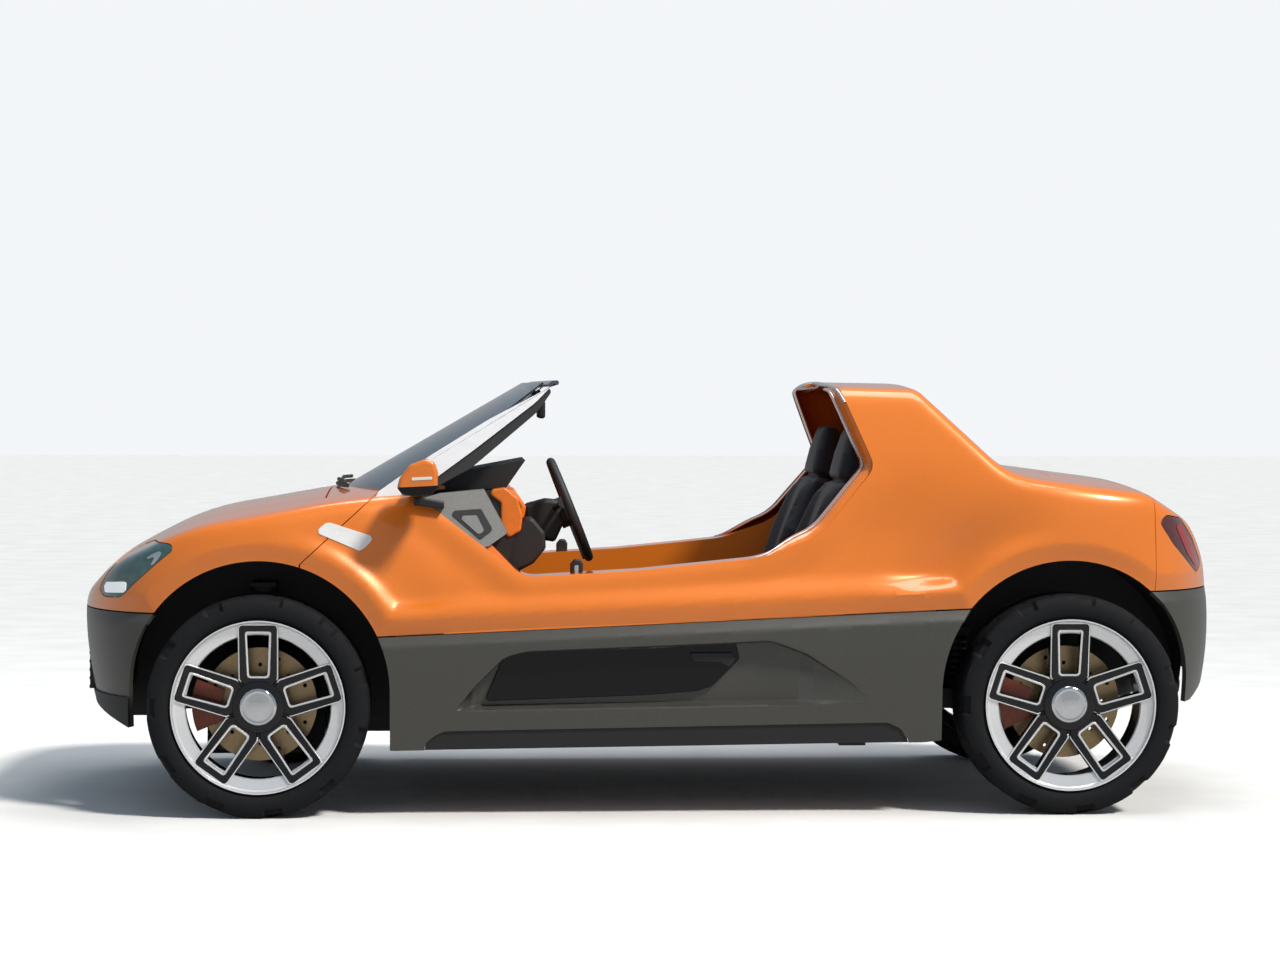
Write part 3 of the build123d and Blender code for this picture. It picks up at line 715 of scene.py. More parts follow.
def paint_drop(v):
    """How far the paint draws in from the plain form."""
    x, z = v[:, 0], v[:, 2]
    gap = crease_gap(v)
    past_lip = ease(gap / LIP - 1)
    rim_gap = -inside(COCKPIT, x, z)
    ledge = ease((z - belt(x) - LIP) / LEDGE_GROWS) * (1 - ease((z - LEDGE_TOP) / LEDGE_FADES)) * past_lip
    ledge *= band(x, *LEDGE_X) * ease((rim_gap + 10) / 110)
    drop = LIP_IN * np.clip(1 - gap / LIP, 0, 1) + LEDGE_IN * ledge
    for axle, way, reach, deep in VALLEYS:
        dx, dz = (x - axle) * way, z - WHEEL_Z
        turn = np.degrees(np.arctan2(dz, np.maximum(dx, 1.0)))
        valley = deep * np.exp(-((np.hypot(dx, dz) - reach) / VALLEY_WIDTH) ** 2)
        drop += valley * band(turn, *VALLEY_TURN) * past_lip * (dx > 0)
    return drop + rim_drop(x) * np.clip(1 - rim_gap / RIM_WIDTH, 0, 1) ** 2 * (rim_gap > -30)


v, t = cut(BODY_V, BODY_T, crease_gap(BODY_V) - LIP, both=True, near=0.3)
v[:, 1] -= paint_drop(v) * flank(v)
PAINT = (v, t)
v, t = cut(BODY_V, BODY_T, BODY_V[:, 2] - belt(BODY_V[:, 0]) + CHAMFER, both=True, near=0.3)
v[:, 1] -= LIP_IN * np.clip(1 + (v[:, 2] - belt(v[:, 0])) / CHAMFER, 0, 1) * flank(v)
CLAD = (v, t)


def panel(name, form, limits, mat, stands_for=None, body="chassis", depth=12.0, split=False, lift=0.0,
          edge=2.0):
    """Cuts a panel from the body form by limits: functions of x, y and z, positive on the panel.

    Its two sides are one object, or with split a right and a left one.
    """
    v, t = form
    for limit in limits:
        v, t = cut(v, t, limit(v[:, 0], v[:, 1], v[:, 2]))
    w, s = mirrored(v, t)
    if split:
        made = [("_right", v, t), ("_left", w, s)]
    else:
        made = [("", np.vstack([v, w]), np.vstack([t, s + len(v)]))]
    for ending, vv, tt in made:
        o = obj(name + ending, *shell(*joined(vv, tt), depth, lift), mat)
        if edge:
            bevel(o, edge, 2, 55)
        put(o, body, (stands_for + ending,) if stands_for else ())


SEAM = 2.0
SHUT_TOP, SHUT_MID = (-818.0, 980.0), (-1067.0, 751.0)
HOOD_REAR_X, COWL_REAR_X, BOOT_FRONT_X, TAIL_CUT_X, BOOT_REAR_X = -1000.0, -640.0, 1216.0, 1502.0, 1600.0
DECK_Y, BOOT_Y, PANEL_GAP = 600.0, 520.0, 5.0
HEADLAMP_Y, TAIL_LAMP_Y = 470.0, 500.0
UNDER = np.array([(NOSE_X - 60, 330), (-1720, 320), (-1521, 236), (-790, 199), (796, 219), (1643, 324),
                  (TAIL_X + 60, 440)])
HOOD_PLAN = [(NOSE_X + 70, -900), (NOSE_X + 70, 380), (NOSE_X + 300, 500), (HOOD_REAR_X, 560),
             (HOOD_REAR_X, -900)]
HEADLAMP = rounded([(-1690, 645), (-1603, 650), (-1545, 706), (-1478, 764), (-1438, 796), (-1450, 812),
                    (-1509, 815), (-1580, 786), (-1652, 716)], [22, 16, 60, 60, 10, 14, 40, 60, 60])
TAIL_LAMP = rounded([(1516, 876), (1545, 894), (1600, 884), (1645, 823), (1688, 738), (1660, 716),
                     (1628, 746), (1566, 808)], [16, 16, 24, 60, 16, 12, 60, 40])


# Limits of panels
def shut(x, z):
    """Positive behind the shut line between the front fender and the body side."""
    return x - np.interp(z, [SHUT_MID[1], SHUT_TOP[1]], [SHUT_MID[0], SHUT_TOP[0]])


def deck_seam(x):
    """Half width of the rear deck, kept clear of the roof's rounded edge."""
    return np.interp(x, [COWL_REAR_X, 520, 1000, BOOT_FRONT_X], [DECK_Y, 550, 575, DECK_Y])


def no_arch(x, y, z):
    return arch_gap(x, z)


def over_belt(x, y, z):
    return z - belt(x) - SEAM


def under_belt(x, y, z):
    return belt(x) - SEAM - z


def ground(x, y, z):
    return z - np.interp(x, UNDER[:, 0], UNDER[:, 1])


def behind(edge):
    return lambda x, y, z: x - edge


def before(edge):
    return lambda x, y, z: edge - x


def above(edge):
    return lambda x, y, z: z - edge


def nearer(edge):
    """Closer than edge to the car's middle."""
    return lambda x, y, z: edge - y


def within(outline, low_y=0.0, grow=0.0):
    return lambda x, y, z: np.where(y > low_y, inside(outline, x, z) + grow, -50.0)


def without(outline, low_y=0.0, grow=0.0):
    return lambda x, y, z: np.where(y > low_y, -inside(outline, x, z) - grow, 50.0)


# Painted panels
no_tail_lamp = without(TAIL_LAMP, TAIL_LAMP_Y, SEAM)
panel("fender", PAINT, [lambda x, y, z: -shut(x, z) - SEAM, over_belt, no_arch,
                        without(HEADLAMP, HEADLAMP_Y, SEAM),
                        lambda x, y, z: -inside(HOOD_PLAN, x, y) - 2 * SEAM,
                        lambda x, y, z: np.maximum(HOOD_REAR_X - x, y - DECK_Y) - SEAM],
      "orange", "front_fender", split=True)
panel("side", PAINT, [lambda x, y, z: shut(x, z) - SEAM, over_belt, no_arch, without(COCKPIT),
                      before(TAIL_CUT_X - SEAM), no_tail_lamp,
                      lambda x, y, z: np.where(x < BOOT_FRONT_X, y - deck_seam(x), y - BOOT_Y - PANEL_GAP)],
      "orange", "body_side", split=True)
panel("hood_skin", PAINT, [lambda x, y, z: inside(HOOD_PLAN, x, y), above(640)],
      "orange", "hood", "hood")
panel("cowl_skin", PAINT, [behind(HOOD_REAR_X + PANEL_GAP), before(COWL_REAR_X), nearer(DECK_Y), above(800)],
      "orange", "cowl")
panel("deck_skin", PAINT, [behind(520), without(COCKPIT), before(BOOT_FRONT_X),
                           lambda x, y, z: deck_seam(x) - y, above(850)],
      "orange", "rear_deck")
panel("boot_skin", PAINT, [behind(BOOT_FRONT_X + PANEL_GAP), before(BOOT_REAR_X), nearer(BOOT_Y), above(850)],
      "orange", "boot_lid", "boot_lid")
panel("tail_skin", PAINT, [behind(TAIL_CUT_X), over_belt, no_arch, no_tail_lamp,
                           lambda x, y, z: np.maximum(x - BOOT_REAR_X, y - BOOT_Y) - PANEL_GAP],
      "orange", "tail_panel")

# Bumpers, with the lower intake left open in front
INTAKE_Y, INTAKE_Z, INTAKE_HALF = 340.0, 405.0, 60.0


def no_intake(x, y, z):
    return np.maximum(y - INTAKE_Y, np.abs(z - INTAKE_Z) - INTAKE_HALF)


panel("front_bumper_skin", CLAD, [before(AXLE_F), under_belt, no_arch, ground, no_intake],
      "cladding", "front_bumper", depth=14.0)
panel("rear_bumper_skin", CLAD, [behind(AXLE_R), under_belt, no_arch, ground],
      "cladding", "rear_bumper", depth=14.0)
panel("front_lip", CLAD, [before(-1560), lambda x, y, z: 352 - z, ground, no_arch],
      "black_plastic", depth=10.0, lift=7.0, edge=3.0)


def upright_box(name, x0, x1, z0, z1, y0, y1):
    """A dark box on both sides."""
    block(name, [(x0, z0), (x1, z0), (x1, z1), (x0, z1)], y0, y1, "black_plastic", edge=2.0, both=True)


# Guards that carry the wheel housings down behind the bumpers' side edges, and end caps on the inner sills
for label, x0, x1, z0 in (("front", -1606, -1490, 268), ("mid", 790, 905, 238),
                          ("rear", AXLE_R + 300, 1622, 333)):
    upright_box(f"{label}_splash_guard", x0, x1, z0, 420, 396.0, 402.0)
for label, x0, x1, z1 in (("front", -794, -786, 520), ("rear", 831, 839, 580)):
    upright_box(f"sill_end_cap_{label}", x0, x1, 226, z1, 638.0, 800.0)

# Lamps: a dark lens in each cut-out, with lit blocks set on it
BLOCK = rounded([(-1660, 690), (-1583, 697), (-1586, 664), (-1658, 659)], 6)
BROW = rounded([(-1520, 772), (-1478, 792), (-1472, 783), (-1500, 744), (-1508, 748), (-1492, 775),
                (-1520, 764)], 2)
RED = rounded([(1575, 862), (1600, 868), (1636, 815), (1676, 745), (1660, 732), (1622, 775)],
              [10, 10, 40, 8, 8, 40])
for name, outline, low_y, mat, slot, stands_for, depth, lift, edge in (
        ("headlamp_lens", HEADLAMP, HEADLAMP_Y, "head_lens", "lamp_lens", "headlamps", 10.0, -1.0, 2.0),
        ("headlamp_block", BLOCK, HEADLAMP_Y, "lamp_white", None, None, 3.0, 1.0, 0),
        ("headlamp_mark", BROW, HEADLAMP_Y, "chrome", None, None, 3.0, 0.6, 0),
        ("tail_lamp_lens", TAIL_LAMP, TAIL_LAMP_Y, "tail_lens", "lamp_lens", "tail_lamps", 10.0, -1.0, 2.0),
        ("tail_lamp_red", RED, TAIL_LAMP_Y, "lamp_red", None, None, 3.0, 0.6, 0)):
    panel(name, PAINT, [within(outline, low_y)], mat, stands_for, depth=depth, lift=lift, edge=edge)

# Blank plate on the left fender, set on the paint
PLATE = rounded([(-1023, 847), (-985, 877), (-844, 831), (-886, 789)], [10, 14, 10, 14])
v, t = PAINT
plate = mirrored(*cut(v, t, within(PLATE, 500)(*v.T)))
put(bevel(obj("fender_plate", *shell(*joined(*plate), 4.0, 2.5), "white_plate"), 1.0, 2, 55))

# Sill cladding with its sculpted scoop and the black strip below
SCOOP_FRONT, SCOOP_REAR, SCOOP_DEEP = -606.0, 640.0, 44.0
SCOOP_TOP = rounded([(SCOOP_FRONT, 321), (-557, 384), (-462, 479), (-398, 497), (226, 522), (330, 528),
                     (435, 490), (564, 407), (SCOOP_REAR, 336)],
                    [0, 120, 60, 120, 600, 90, 200, 200, 0], closed=False)
SCOOP_LOW = np.array([(SCOOP_FRONT, 319), (-513, 317), (134, 327), (587, 335), (SCOOP_REAR, 335)])
STRIP = rounded([(-697, 150), (-697, 219), (-668, 243), (-640, 257), (682, 279), (723, 259), (746, 222),
                 (746, 150)], [0, 10, 30, 30, 30, 30, 10, 0])
xs = np.concatenate([np.linspace(-603, -560, 14), np.linspace(-550, 560, 120), np.linspace(566, 636, 18)])
z_top = np.interp(xs, *SCOOP_TOP.T)
z_low = np.interp(xs, *SCOOP_LOW.T)
SCOOP = np.vstack([np.column_stack([xs, z_top]), np.column_stack([xs, z_low])[::-1]])
span = [behind(AXLE_F), before(AXLE_R), under_belt, no_arch, ground]
panel("side_skirt_skin", CLAD, span + [without(SCOOP), without(STRIP)], "cladding", "side_skirts",
      depth=16.0)
panel("sill_strip", CLAD, span + [within(STRIP, grow=-1.0)], "black_plastic", depth=14.0,
      lift=-5.0)

# Rows of the recess from its top edge to its low edge: share of the inset, share of the depth
TOP_SHARES = ((0.12, 0.04), (0.45, 0.35), (0.8, 0.85), (1.0, 1.0))
LOW_SHARES = ((1.0, 1.0), (0.6, 0.7), (0.15, 0.06))
deep = SCOOP_DEEP * ease((636 - xs) / 400) * ease((xs - SCOOP_FRONT) / 60)
inset_top = np.minimum(9.0, (z_top - z_low) * 0.3)
inset_low = np.minimum(16.0, (z_top - z_low) * 0.2)
rows = [(z_top, -1.0)]
rows += [(z_top - inset_top * share, -deep * drop) for share, drop in TOP_SHARES]
rows += [(z_low + inset_low * share, -deep * drop) for share, drop in LOW_SHARES]
rows += [(z_low, -1.0)]
v = np.vstack([np.column_stack([xs, side_y(xs, z) + drop, z]) for z, drop in rows])
f = grid_faces(len(rows), len(xs))
wall = np.vstack([v, v - np.array([0, 8.0, 0])])
wall_faces = f + shifted([g[::-1] for g in f], len(v))
put(obj("scoop_recess", *with_mirror(wall, wall_faces), "cladding", sharp=50), "chassis")
WINDOW = rounded([(-520, 345), (-462, 486), (-398, 505), (226, 528), (240, 469), (158, 388), (112, 373),
                  (-51, 361)], [10, 20, 20, 8, 14, 20, 40, 200])
block("scoop_window", WINDOW, 784.0, 795.0, "gloss_black", 2.0, replaces=("skirt_panels",),
      both=True)
LATCH = rounded([(90, 489), (214, 490), (226, 466), (208, 443), (181, 458), (98, 462)], 5)
block("sill_latch", LATCH, 793.0, 806.0, "frame_steel", both=True)

# Wheels: one object a tyre and a rim, drawn about the hub with the outer side at +offset
TRACK_HALF = 717.0
LUGS, LUG_STEPS, LUG_PHASE = 11, 18, 0.36
GROOVE_FROM, GROOVE_DEEP, GROOVE_SIDE = 0.70, 11.0, 0.055
# Half of the tread's section: offset, radius
TREAD = ((-84, 236), (-84, 248), (-97, 259), (-104, 270), (-107.5, 284), (-107.3, 296), (-106, 303),
         (-105.5, 306), (-103, 316), (-98, 324), (-90, 328.5), (-70, 330), (-63, 330), (-62, 323), (-54, 323),
         (-53, 330), (-24, 330), (-23, 323), (-15, 323), (-14, 330))
TREAD += tuple((-y, r) for y, r in reversed(TREAD))


def tyre(name, centre, side):
    """A tyre with grooves between its shoulder lugs and short cuts in its middle ribs."""
    steps = LUGS * LUG_STEPS
    v, f = lathe(TREAD, steps, side)
    v = v.reshape(len(TREAD), steps, 3)
    phase = (np.arange(steps) / LUG_STEPS + LUG_PHASE) % 1.0
    groove = phase > GROOVE_FROM
    dimple = (phase > 0.16) * (phase < 0.54) * 2.5
    for k, (y, r) in enumerate(TREAD):
        if abs(y) > 69 and r > 305:
            notch = groove * GROOVE_DEEP + dimple * (98 < abs(y) < 104)
            v[k, :, [0, 2]] *= 1 - notch * min(1.0, (abs(y) - 60) / 34) / r
            if abs(y) > 95:
                v[k, :, 1] *= 1 - groove * GROOVE_SIDE
        if 24 <= abs(y) <= 53 and r > 329:
            slit = ((phase * 2 + (0.25 if y > 0 else 0)) % 1) > 0.86
            v[k, :, [0, 2]] *= 1 - 6.0 * slit / r
    last = (len(TREAD) - 1) * steps
    f += [(c, (c + 1) % steps, last + (c + 1) % steps, last + c) for c in range(steps)]
    return outward(obj(name, v.reshape(-1, 3) + np.asarray(centre), f, "rubber", sharp=30))


def loop_at(outline, centre, angles):
    """Where rays from a centre meet a closed outline, one point an angle."""
    p = np.asarray(outline, float) - centre
    e = np.roll(p, -1, 0) - p
    points = []
    for a in angles:
        d = np.array([cos(a), sin(a)])
        den = d[0] * e[:, 1] - d[1] * e[:, 0]
        den = np.where(np.abs(den) < 1e-12, 1e-12, den)
        t = (p[:, 0] * e[:, 1] - p[:, 1] * e[:, 0]) / den
        s = (p[:, 0] * d[1] - p[:, 1] * d[0]) / den
        ok = (s >= -1e-9) & (s <= 1 + 1e-9) & (t > 0)
        points.append(d * t[ok].max() + centre)
    return np.array(points)


def dish(r):
    """Offset of the wheel face at a radius."""
    return 72.0 + 22.0 * (r / 252.0) ** 2


BLACK, BRIGHT, CAP = 0, 1, 2
SPOKES, SPOKE_POINTS, TURN_STEPS, HUB_STEPS = 5, 96, 120, 96
HUB_SIDE = 80.0
BARREL = ((106, 257), (106, 253), (102, 250), (dish(246) - 2, 246), (dish(216) - 4, 216),
          (dish(214) - 8, 213), (dish(214) - 14, 216), (40, 227), (0, 230), (-90, 227), (-104, 246),
          (-106, 257), (-97, 257), (-97, 238), (68, 238), (82, 246), (98, 257), (106, 257))
BRIGHT_ROWS = 5
HUB_SECTION = ((8, 24), (8, 78), (70, 80), (79, 76), (82, 66), (82, 56), (83, 54))
CAP_SECTION = ((83, 54), (86, 51), (87.5, 47), (86.5, 43.5), (86.5, 40), (88.5, 24), (89.2, 10), (89.3, 0.5))
# Loops round a spoke's two lines: tip on its axis, near corner, far corner, their radii, rise over the dish,
# rise beside the hub, colour
SPOKE_LOOPS = (
    (0, (81, 59), (247, 60), (0, 12), -34, -34, BLACK),
    (0, (81, 59), (247, 60), (0, 12), 1, 1, BLACK),
    (2, (82, 57.5), (245.5, 58.5), (3, 11), 3.5, 0.2, BRIGHT),
    (5, (83, 55), (242.5, 56), (3, 9), 3.5, -1.5, BRIGHT),
    (7, (84, 53.5), (241, 54.5), (3, 8), 1.5, 1.5, BLACK),
    (None, (84, 33.5), (224.5, 39.5), (12, 7), 1.5, 1.5, BLACK),
    (None, (85.5, 32), (223, 38), (11, 6), 3.8, 3.8, BRIGHT),
    (None, (90.5, 27.5), (218, 33), (8, 4), 2.5, 2.5, BRIGHT),
    (None, (92, 26), (216.5, 31.5), (7, 4), -6, -6, BLACK),
    (None, (92, 26), (216.5, 31.5), (7, 4), -36, -36, BLACK),
)


def spoke_loop(tip, near, far, radii):
    """Outline of a spoke loop, the same on both sides of its axis."""
    points = [(near[0], -near[1]), (far[0], -far[1]), far, near]
    corner = [radii[0], radii[1], radii[1], radii[0]]
    return rounded(points, corner) if tip is None else rounded([(tip, 0), *points], [0, *corner])


def rim(name, centre, side):
    """A two-tone rim: barrel with a bright ring, spokes edged by bright lines, hub and bare cap."""
    v, f = lathe(BARREL, TURN_STEPS, side)
    pieces = [(v, f, [BRIGHT if k < BRIGHT_ROWS * TURN_STEPS else BLACK for k in range(len(f))])]
    angles = np.linspace(-pi, pi, SPOKE_POINTS, endpoint=False) + 0.001
    for k in range(SPOKES):
        a = pi / 2 + 2 * pi * k / SPOKES
        rows, tint = [], []
        for tip, near, far, radii, rise, hub_rise, colour in SPOKE_LOOPS:
            x, z = loop_at(spoke_loop(tip, near, far, radii), np.array([150.0, 0.0]), angles).T
            by_hub = x < HUB_SIDE
            y = dish(np.hypot(x, z)) + np.where(by_hub, hub_rise, rise)
            rows.append(np.column_stack([x * cos(a) - z * sin(a), y * side, x * sin(a) + z * cos(a)]))
            tint += list(np.where(by_hub, BLACK, colour))
        pieces.append((np.vstack(rows), grid_faces(len(rows), SPOKE_POINTS, True), tint[SPOKE_POINTS:]))
    pieces.append((*lathe(HUB_SECTION, HUB_STEPS, side), BLACK))
    pieces.append((*lathe(CAP_SECTION, HUB_STEPS, side), CAP))
    v, f, tint = merged(pieces)
    return outward(obj(name, v + np.asarray(centre), f, ["alloy_black", "alloy", "chrome"], tint, sharp=32))


for corner, x, side in (("fl", AXLE_F, -1), ("fr", AXLE_F, 1), ("rl", AXLE_R, -1), ("rr", AXLE_R, 1)):
    at = (x, side * TRACK_HALF, WHEEL_Z)
    put(tyre(f"tyre_{corner}_tread", at, side), f"wheel_{corner}", (f"tyre_{corner}",))
    put(rim(f"rim_{corner}_face", at, side), f"wheel_{corner}", (f"rim_{corner}",))

# Windshield: a curved pane between two broad light pillars, with a dark seal behind them
# Pane at its foot and at its head: height, x on the centreline, x at the corners, half width
PANE_FOOT = np.array((900.0, -1060.0, -850.0, 690.0))
PANE_HEAD = np.array((1284.0, -400.0, -345.0, 584.0))


def pane_point(z, share):
    """A point of the pane at a height, for a share of its half width."""
    t = (z - PANE_FOOT[0]) / (PANE_HEAD[0] - PANE_FOOT[0])
    _, centre, corner, half = PANE_FOOT + (PANE_HEAD - PANE_FOOT) * t
    return centre + (corner - centre) * share ** 2, half * share, z


def pillar_y(z):
    """Half width between the pillars' middles at a height."""
    return 689.0 - 99.0 * (np.asarray(z, float) - 962.0) / 328.0


PANE_ROWS, PANE_COLS = 24, 49
pane = np.array([[pane_point(z, s) for s in np.linspace(-1, 1, PANE_COLS)]
                 for z in np.linspace(905, 1288, PANE_ROWS)])
v, f = shell(pane.reshape(-1, 3), grid_tris(PANE_ROWS, PANE_COLS), 6.0)
put(outward(obj("windshield_pane", v, f, "glass")), "chassis", ("windshield",))

PILLAR = rounded([(-850, 940), (-835, 966), (-682, 1072), (-507, 1180), (-325, 1276), (-300, 1290),
                  (-312, 1286), (-367, 1230), (-552, 1088), (-653, 1014), (-735, 940)],
                 [0, 20, 300, 300, 60, 4, 30, 200, 200, 60, 0])
SEAL = rounded([(-735, 945), (-653, 1016), (-552, 1090), (-367, 1232), (-322, 1276), (-318, 1262),
                (-357, 1205), (-555, 1038), (-650, 985), (-690, 945)],
               [0, 60, 200, 200, 10, 10, 200, 200, 60, 0])
HEADER_SECTION = ((0, 1279), (4, 1286), (40, 1297), (84, 1299), (96, 1294), (92, 1286), (40, 1280))
HEADER_STEPS, HEADER_HALF = 41, 592.0
pieces = []
for outline, outer, inner, tint in ((PILLAR, 17, 15, 0), (SEAL, 8, 40, 1)):
    half = pillar_y(outline[:, 1])
    v, f = prism(outline, -(half + outer), -(half - inner))
    pieces += [(v, f, tint), (v * FLIP, f, tint)]
header = []
for s in np.linspace(-1, 1, HEADER_STEPS):
    front = -404 + 74 * s * s
    header += [(front + dx * (1 - 0.62 * abs(s)), HEADER_HALF * s, z) for dx, z in HEADER_SECTION]
ring = len(HEADER_SECTION)
pieces.append((header, grid_faces(HEADER_STEPS, ring, True) + end_caps(len(header), ring), 2))
v, f, tint = merged(pieces)
surround = outward(obj("windshield_surround", v, f, ["pillar_white", "black_plastic", "visor"], tint))
put(bevel(surround, 3.0, 2, 60), "chassis", ("windshield_frame",))

# Wipers at the foot of the pane, behind the hood's rear edge
for k, (y0, y1) in enumerate(((-330, 60), (80, 470))):
    ys = np.linspace(y0, y1, 14)
    blade = [(x, y, roof(x, y) + 9) for x, y in zip(-983 + 185 * (ys / 690) ** 2, ys)]
    tube(f"wiper_blade_{k}", blade, 6, "black_plastic", sides=8)
    arm = [(x + 2, y, z + (3 if n == 0 else 15)) for n, (x, y, z) in enumerate(blade[1:9:2])]
    tube(f"wiper_arm_{k}", arm, 6, "black_plastic")

# Hoop: the edge returns inwards, with a light piping on its inner side, and a metal strip edges the roof
HOOP_TOP, HOOP_STEPS, HOOP_X = 1268.0, 70, 549.0
# Rows of the lining: step across the opening, step towards the car's middle
LINING = ((0, 6), (10, 12), (22, 40), (26, 95), (24, 120))
PIPING_ROW = 2
hoop = COCKPIT[COCKPIT[:, 0] > 290]
hoop = hoop[np.argsort(hoop[:, 1])]
run = arc_length(hoop)
run, hoop = run[hoop[:, 1] < 1310], hoop[hoop[:, 1] < 1310]
run[-1] = np.interp(HOOP_TOP, hoop[-2:, 1], run[-2:])
hoop[-1] = [np.interp(HOOP_TOP, hoop[-2:, 1], hoop[-2:, 0]), HOOP_TOP]
s = np.linspace(0, run[-1], HOOP_STEPS)
hoop = resampled(hoop, run, s)
along = np.gradient(hoop, axis=0)
along /= np.linalg.norm(along, axis=1)[:, None]
across = np.column_stack([-along[:, 1], along[:, 0]])
grow = ease(s / 160)
# The body's rounded column at the hoop gives the half width under the roof.
column = GRID[np.argmin(np.abs(GRID[:, 60, 0] - HOOP_X) + 1e3 * (np.arange(nc) < nc // 6))]
flank_y = np.minimum(side_y(hoop[:, 0], np.minimum(hoop[:, 1], 1285)),
                     np.interp(hoop[:, 1], column[:, 2], column[:, 1]))
flank_y -= rim_drop(hoop[:, 0])
rows = []
for step, inward in LINING:
    p = hoop + across * step * grow[:, None]
    rows.append(np.column_stack([p[:, 0], flank_y - inward * (0.3 + 0.7 * grow), p[:, 1]]))
v, f = shell(np.vstack(rows), grid_tris(len(LINING), HOOP_STEPS), 4.0, 4.0)
put(outward(obj("hoop_lining", *with_mirror(v, f), "orange", sharp=60)), "chassis")
for way, label in ((1, "right"), (-1, "left")):
    tube(f"hoop_piping_{label}", rows[PIPING_ROW] * (1, way, 1) - (3.0, 0, 0), 2.5, "silver", sides=8)
EDGE_LOW, EDGE_TOP = (571.0, 1236.0), (545.0, 1290.0)
column = column[column[:, 2] > EDGE_LOW[1]]
edge_line = np.vstack([column * FLIP, column[::-1][1:]])
edge_line[:, 0] = np.interp(edge_line[:, 2], [EDGE_LOW[1], EDGE_TOP[1]], [EDGE_LOW[0], EDGE_TOP[0]])
edge_line[:, 2] -= 3.0
tube("roof_edge_strip", edge_line, 5.5, "silver")

# Bulkhead behind the seats, kept inside the rounded roof edge
lower = prism([(632, 240), (722, 980), (722, 1225), (747, 1225), (747, 980), (657, 240)], -622.0, 622.0)
upper = prism([(722, 1224), (722, 1268), (747, 1268), (747, 1224)], -575.0, 575.0)
v, f, _ = merged([(*lower, 0), (*upper, 0)])
put(outward(obj("bulkhead_wall", v, f, "orange")), "chassis", ("rear_bulkhead",))

# Dash: grey end panels with a framed vent, following the body side
GREY = rounded([(-735, 936), (-656, 959), (-521, 971), (-450, 843), (-508, 803), (-560, 785), (-640, 868)],
               [10, 10, 6, 10, 10, 20, 60])
VENT = rounded([(-630, 907), (-530, 914), (-495, 852), (-533, 823)], 10)
VENT_IN = rounded([(-601, 893), (-543, 895), (-520, 849), (-537, 837)], 8)
for name, outline, inward, thick, mat in (("dash_end_panel", GREY, 9.5, 90, "grey_panel"),
                                          ("vent_frame", VENT, 5.0, 8, "black_plastic"),
                                          ("vent_insert", VENT_IN, 2.5, 6, "grey_panel")):
    outer = side_y(*outline.T) - inward
    block(name, outline, -outer, -outer + thick, mat, both=True)

# Dash: a painted band across its face, the driver's cover, knee panel and column
SEAT_Y = 360.0
BAND = rounded([(-519, 966), (-457, 975), (-420, 945), (-404, 889), (-410, 845), (-448, 824), (-470, 860),
                (-470, 930)], 12)
POD = rounded([(-470, 972), (-425, 963), (-392, 915), (-398, 880), (-440, 860), (-470, 900)], 10)
COVER = rounded([(-690, 960), (-658, 990), (-557, 1029), (-392, 1060), (-453, 972), (-578, 960)],
                [6, 20, 60, 3, 20, 60])
KNEE = rounded([(-505, 780), (-425, 716), (-370, 745), (-333, 791), (-336, 838), (-379, 890),
                (-440, 838)], 20)
SHROUD = rounded([(-396, 916), (-330, 934), (-290, 930), (-272, 860), (-300, 800), (-330, 805),
                  (-390, 850)], 14)
STALK = ((-300, 50, 905), (-292, 110, 915), (-285, 165, 922))
block("dash_band", BAND, -648.0, 648.0, "orange_inner", edge=6.0, segments=3)
block("cluster_pod", POD, -560.0, -180.0, "orange_inner", edge=8.0, segments=3)
block("instrument_cover", COVER, -570.0, -150.0, "black_plastic", 4.0,
      replaces=("instrument_hood",))
block("knee_panel", KNEE, -610.0, -150.0, "black_plastic", edge=10.0, segments=3)
block("column_shroud", SHROUD, -SEAT_Y - 55, -SEAT_Y + 55, "black_plastic", edge=12.0, segments=3)
for k, way in enumerate((-1, 1)):
    stalk = [(x, -SEAT_Y + way * out, z) for x, out, z in STALK]
    tube(f"column_stalk_{k}", stalk, 8, "black_plastic")

# Sill knobs, mirrors and pillar feet, on both sides
KNOB = rounded([(-263, 700), (-262, 748), (-250, 762), (-232, 762), (-224, 748), (-226, 700)], 8)
KNOB_TRIM = rounded([(-250, 702), (-250, 744), (-238, 744), (-238, 702)], 3)
HEAD = rounded([(-777, 980), (-770, 1010), (-739, 1050), (-694, 1066), (-667, 1059), (-657, 1028),
                (-658, 982), (-676, 962), (-721, 958), (-761, 964)], [12, 30, 30, 30, 20, 30, 20, 20, 20, 12])
FOOT = rounded([(-778, 984), (-656, 990), (-657, 981), (-676, 961), (-721, 957), (-762, 963)],
               [4, 4, 8, 16, 16, 10])
ARM = [(-742, 968), (-692, 968), (-692, 1000), (-742, 1000)]
PILLAR_FOOT = [(-730, 926), (-640, 915), (-640, 936), (-730, 950)]
STRIPE = rounded([(-734, 1003), (-734, 1012), (-675, 1015), (-674, 1006)], 3)
block("sill_knob", KNOB, 672.0, 704.0, "black_plastic", edge=6.0, segments=3, both=True)
block("sill_knob_trim", KNOB_TRIM, 702.0, 706.0, "chrome", edge=1.0, both=True)
block("mirror_head", HEAD, 812.0, 938.0, "orange", 18.0, 4, ("door_mirrors",), both=True)
block("mirror_base", FOOT, 826.0, 939.5, "gloss_black", edge=6.0, both=True)
block("mirror_arm", ARM, 690.0, 830.0, "black_plastic", edge=6.0, both=True)
block("pillar_foot_cover", PILLAR_FOOT, 596.0, 764.0, "black_plastic", edge=4.0, both=True)
block("mirror_stripe", STRIPE, 934.0, 939.8, "white_plate", edge=1.0, both=True)

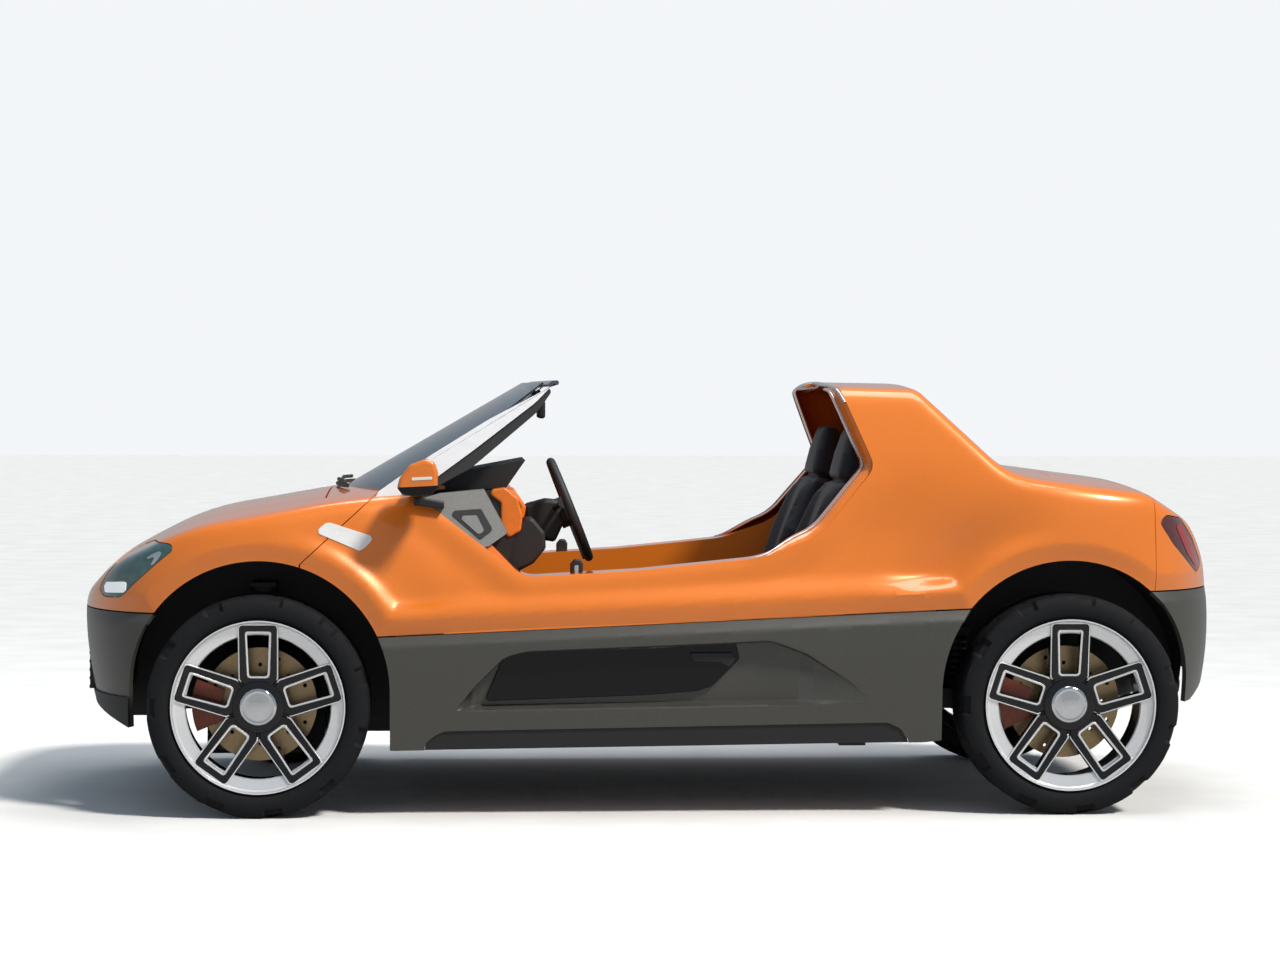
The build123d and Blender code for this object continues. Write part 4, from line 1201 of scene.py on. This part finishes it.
# Seats: padded base, high back and head part in one cover, blown up a little as cloth
VOXEL, FRAMES, MOST_MOVE = 6.0, 20, 8.0
CLOTH = {"quality": 5, "mass": 0.3, "tension_stiffness": 20, "compression_stiffness": 20,
         "shear_stiffness": 10, "bending_stiffness": 2, "use_pressure": True, "uniform_pressure_force": 4.0}
# Each cushion: its side-view path, and along it the half widths, the depths and the bolsters' heights
CUSHIONS = (
    ([(-50, 405), (120, 395), (300, 385), (440, 410)],
     (195, 215, 215, 190), (120, 130, 130, 110), (30, 34, 34, 10)),
    ([(430, 430), (505, 640), (565, 830), (610, 985)],
     (190, 215, 215, 180), (110, 120, 110, 95), (10, 40, 40, 20)),
    ([(608, 992), (628, 1070), (640, 1160)], (150, 140, 115), (85, 85, 60), (6, 6, 0)),
)


def cushion(path, widths, depths, bolsters, steps=40, points=44):
    """A closed padded form along a path; its sections are rounded with raised edges."""
    p = np.asarray(path, float)
    run = arc_length(p)
    s = np.linspace(0, run[-1], steps)
    line = spline(run, p)(s)
    along = np.gradient(line, axis=0)
    along /= np.linalg.norm(along, axis=1)[:, None]
    front = np.column_stack([-along[:, 1], along[:, 0]])
    share = s / run[-1]
    half, deep, lift = (np.interp(share, np.linspace(0, 1, len(q)), q) for q in (widths, depths, bolsters))
    a = np.linspace(0, 2 * pi, points, endpoint=False)
    c, d = np.cos(a), np.sin(a)
    rings = []
    for k in range(steps):
        end = sqrt(max(0.0, 1 - (2 * share[k] - 1) ** 10))
        u = np.sign(c) * np.abs(c) ** 0.45 * half[k] * (0.86 + 0.14 * end)
        w = np.sign(d) * np.abs(d) ** 0.6 * deep[k] * 0.5 * (0.35 + 0.65 * end)
        w = w + lift[k] * ease((np.abs(u) / half[k] - 0.5) / 0.35) * (d > 0)
        rings.append(np.column_stack([line[k, 0] + front[k, 0] * w, u, line[k, 1] + front[k, 1] * w]))
    return np.vstack(rings), grid_faces(steps, points, True) + end_caps(steps * points, points)


def evaluated(o):
    return o.evaluated_get(bpy.context.evaluated_depsgraph_get())


def places(me):
    """A mesh's points in millimetres."""
    return np.array([p.co[:] for p in me.vertices]) / MM


def puffed(verts, faces):
    """The cover after some frames of cloth under inner pressure, its movement capped."""
    o = outward(obj("cover_form", verts, faces, "seat"))
    remesh = o.modifiers.new("remesh", "REMESH")
    remesh.mode = "VOXEL"
    remesh.voxel_size = VOXEL * MM
    remesh.use_smooth_shade = True
    me = bpy.data.meshes.new_from_object(evaluated(o))
    o.modifiers.clear()
    o.data = me
    start = places(me)
    cloth = o.modifiers.new("cloth", "CLOTH")
    for key, value in CLOTH.items():
        setattr(cloth.settings, key, value)
    cloth.settings.effector_weights.gravity = 0.0
    cloth.point_cache.frame_start, cloth.point_cache.frame_end = 1, FRAMES
    for n in range(1, FRAMES + 1):
        scene.frame_set(n)
    move = places(evaluated(o).data) - start
    size = np.linalg.norm(move, axis=1)
    start = start + move * np.minimum(1.0, MOST_MOVE / np.maximum(size, 1e-6))[:, None]
    scene.frame_set(1)
    o.modifiers.clear()
    polys = [tuple(p.vertices) for p in me.polygons]
    bpy.data.objects.remove(o)
    return start, polys


v, f, _ = merged([(*cushion(*sizes), 0) for sizes in CUSHIONS])
cover_v, cover_f = puffed(v, f)
for label, y in (("left", -SEAT_Y), ("right", SEAT_Y)):
    cover = obj(f"seat_{label}_cover", cover_v + np.array([0, y, 0]), cover_f, "seat", sharp=180)
    put(cover, "chassis", (f"seat_{label}",))

# Surfaces of the pieces that stay as the frame gives them
SLOT_MAT = {"body_paint": "orange", "springs_steel": "frame_steel", "tyre_rubber": "rubber",
            "brake_disc": "disc", "caliper_paint": "caliper", "lamp_lens": "head_lens",
            "silver_frame": "silver", "seat_cover": "seat", "exhaust_steel": "frame_steel"}
for part in frame["record"]["subparts"]:
    slot = part["material_slot"]
    data = frame["nodes"][part["node"]].data
    data.materials.clear()
    data.materials.append(MATS[SLOT_MAT.get(slot, slot)])

FLOOR = [(-40e3, -30e3, 0), (40e3, -30e3, 0), (40e3, 60e3, 0), (-40e3, 60e3, 0)]
obj("floor", FLOOR, [(0, 1, 2, 3)], "floor")
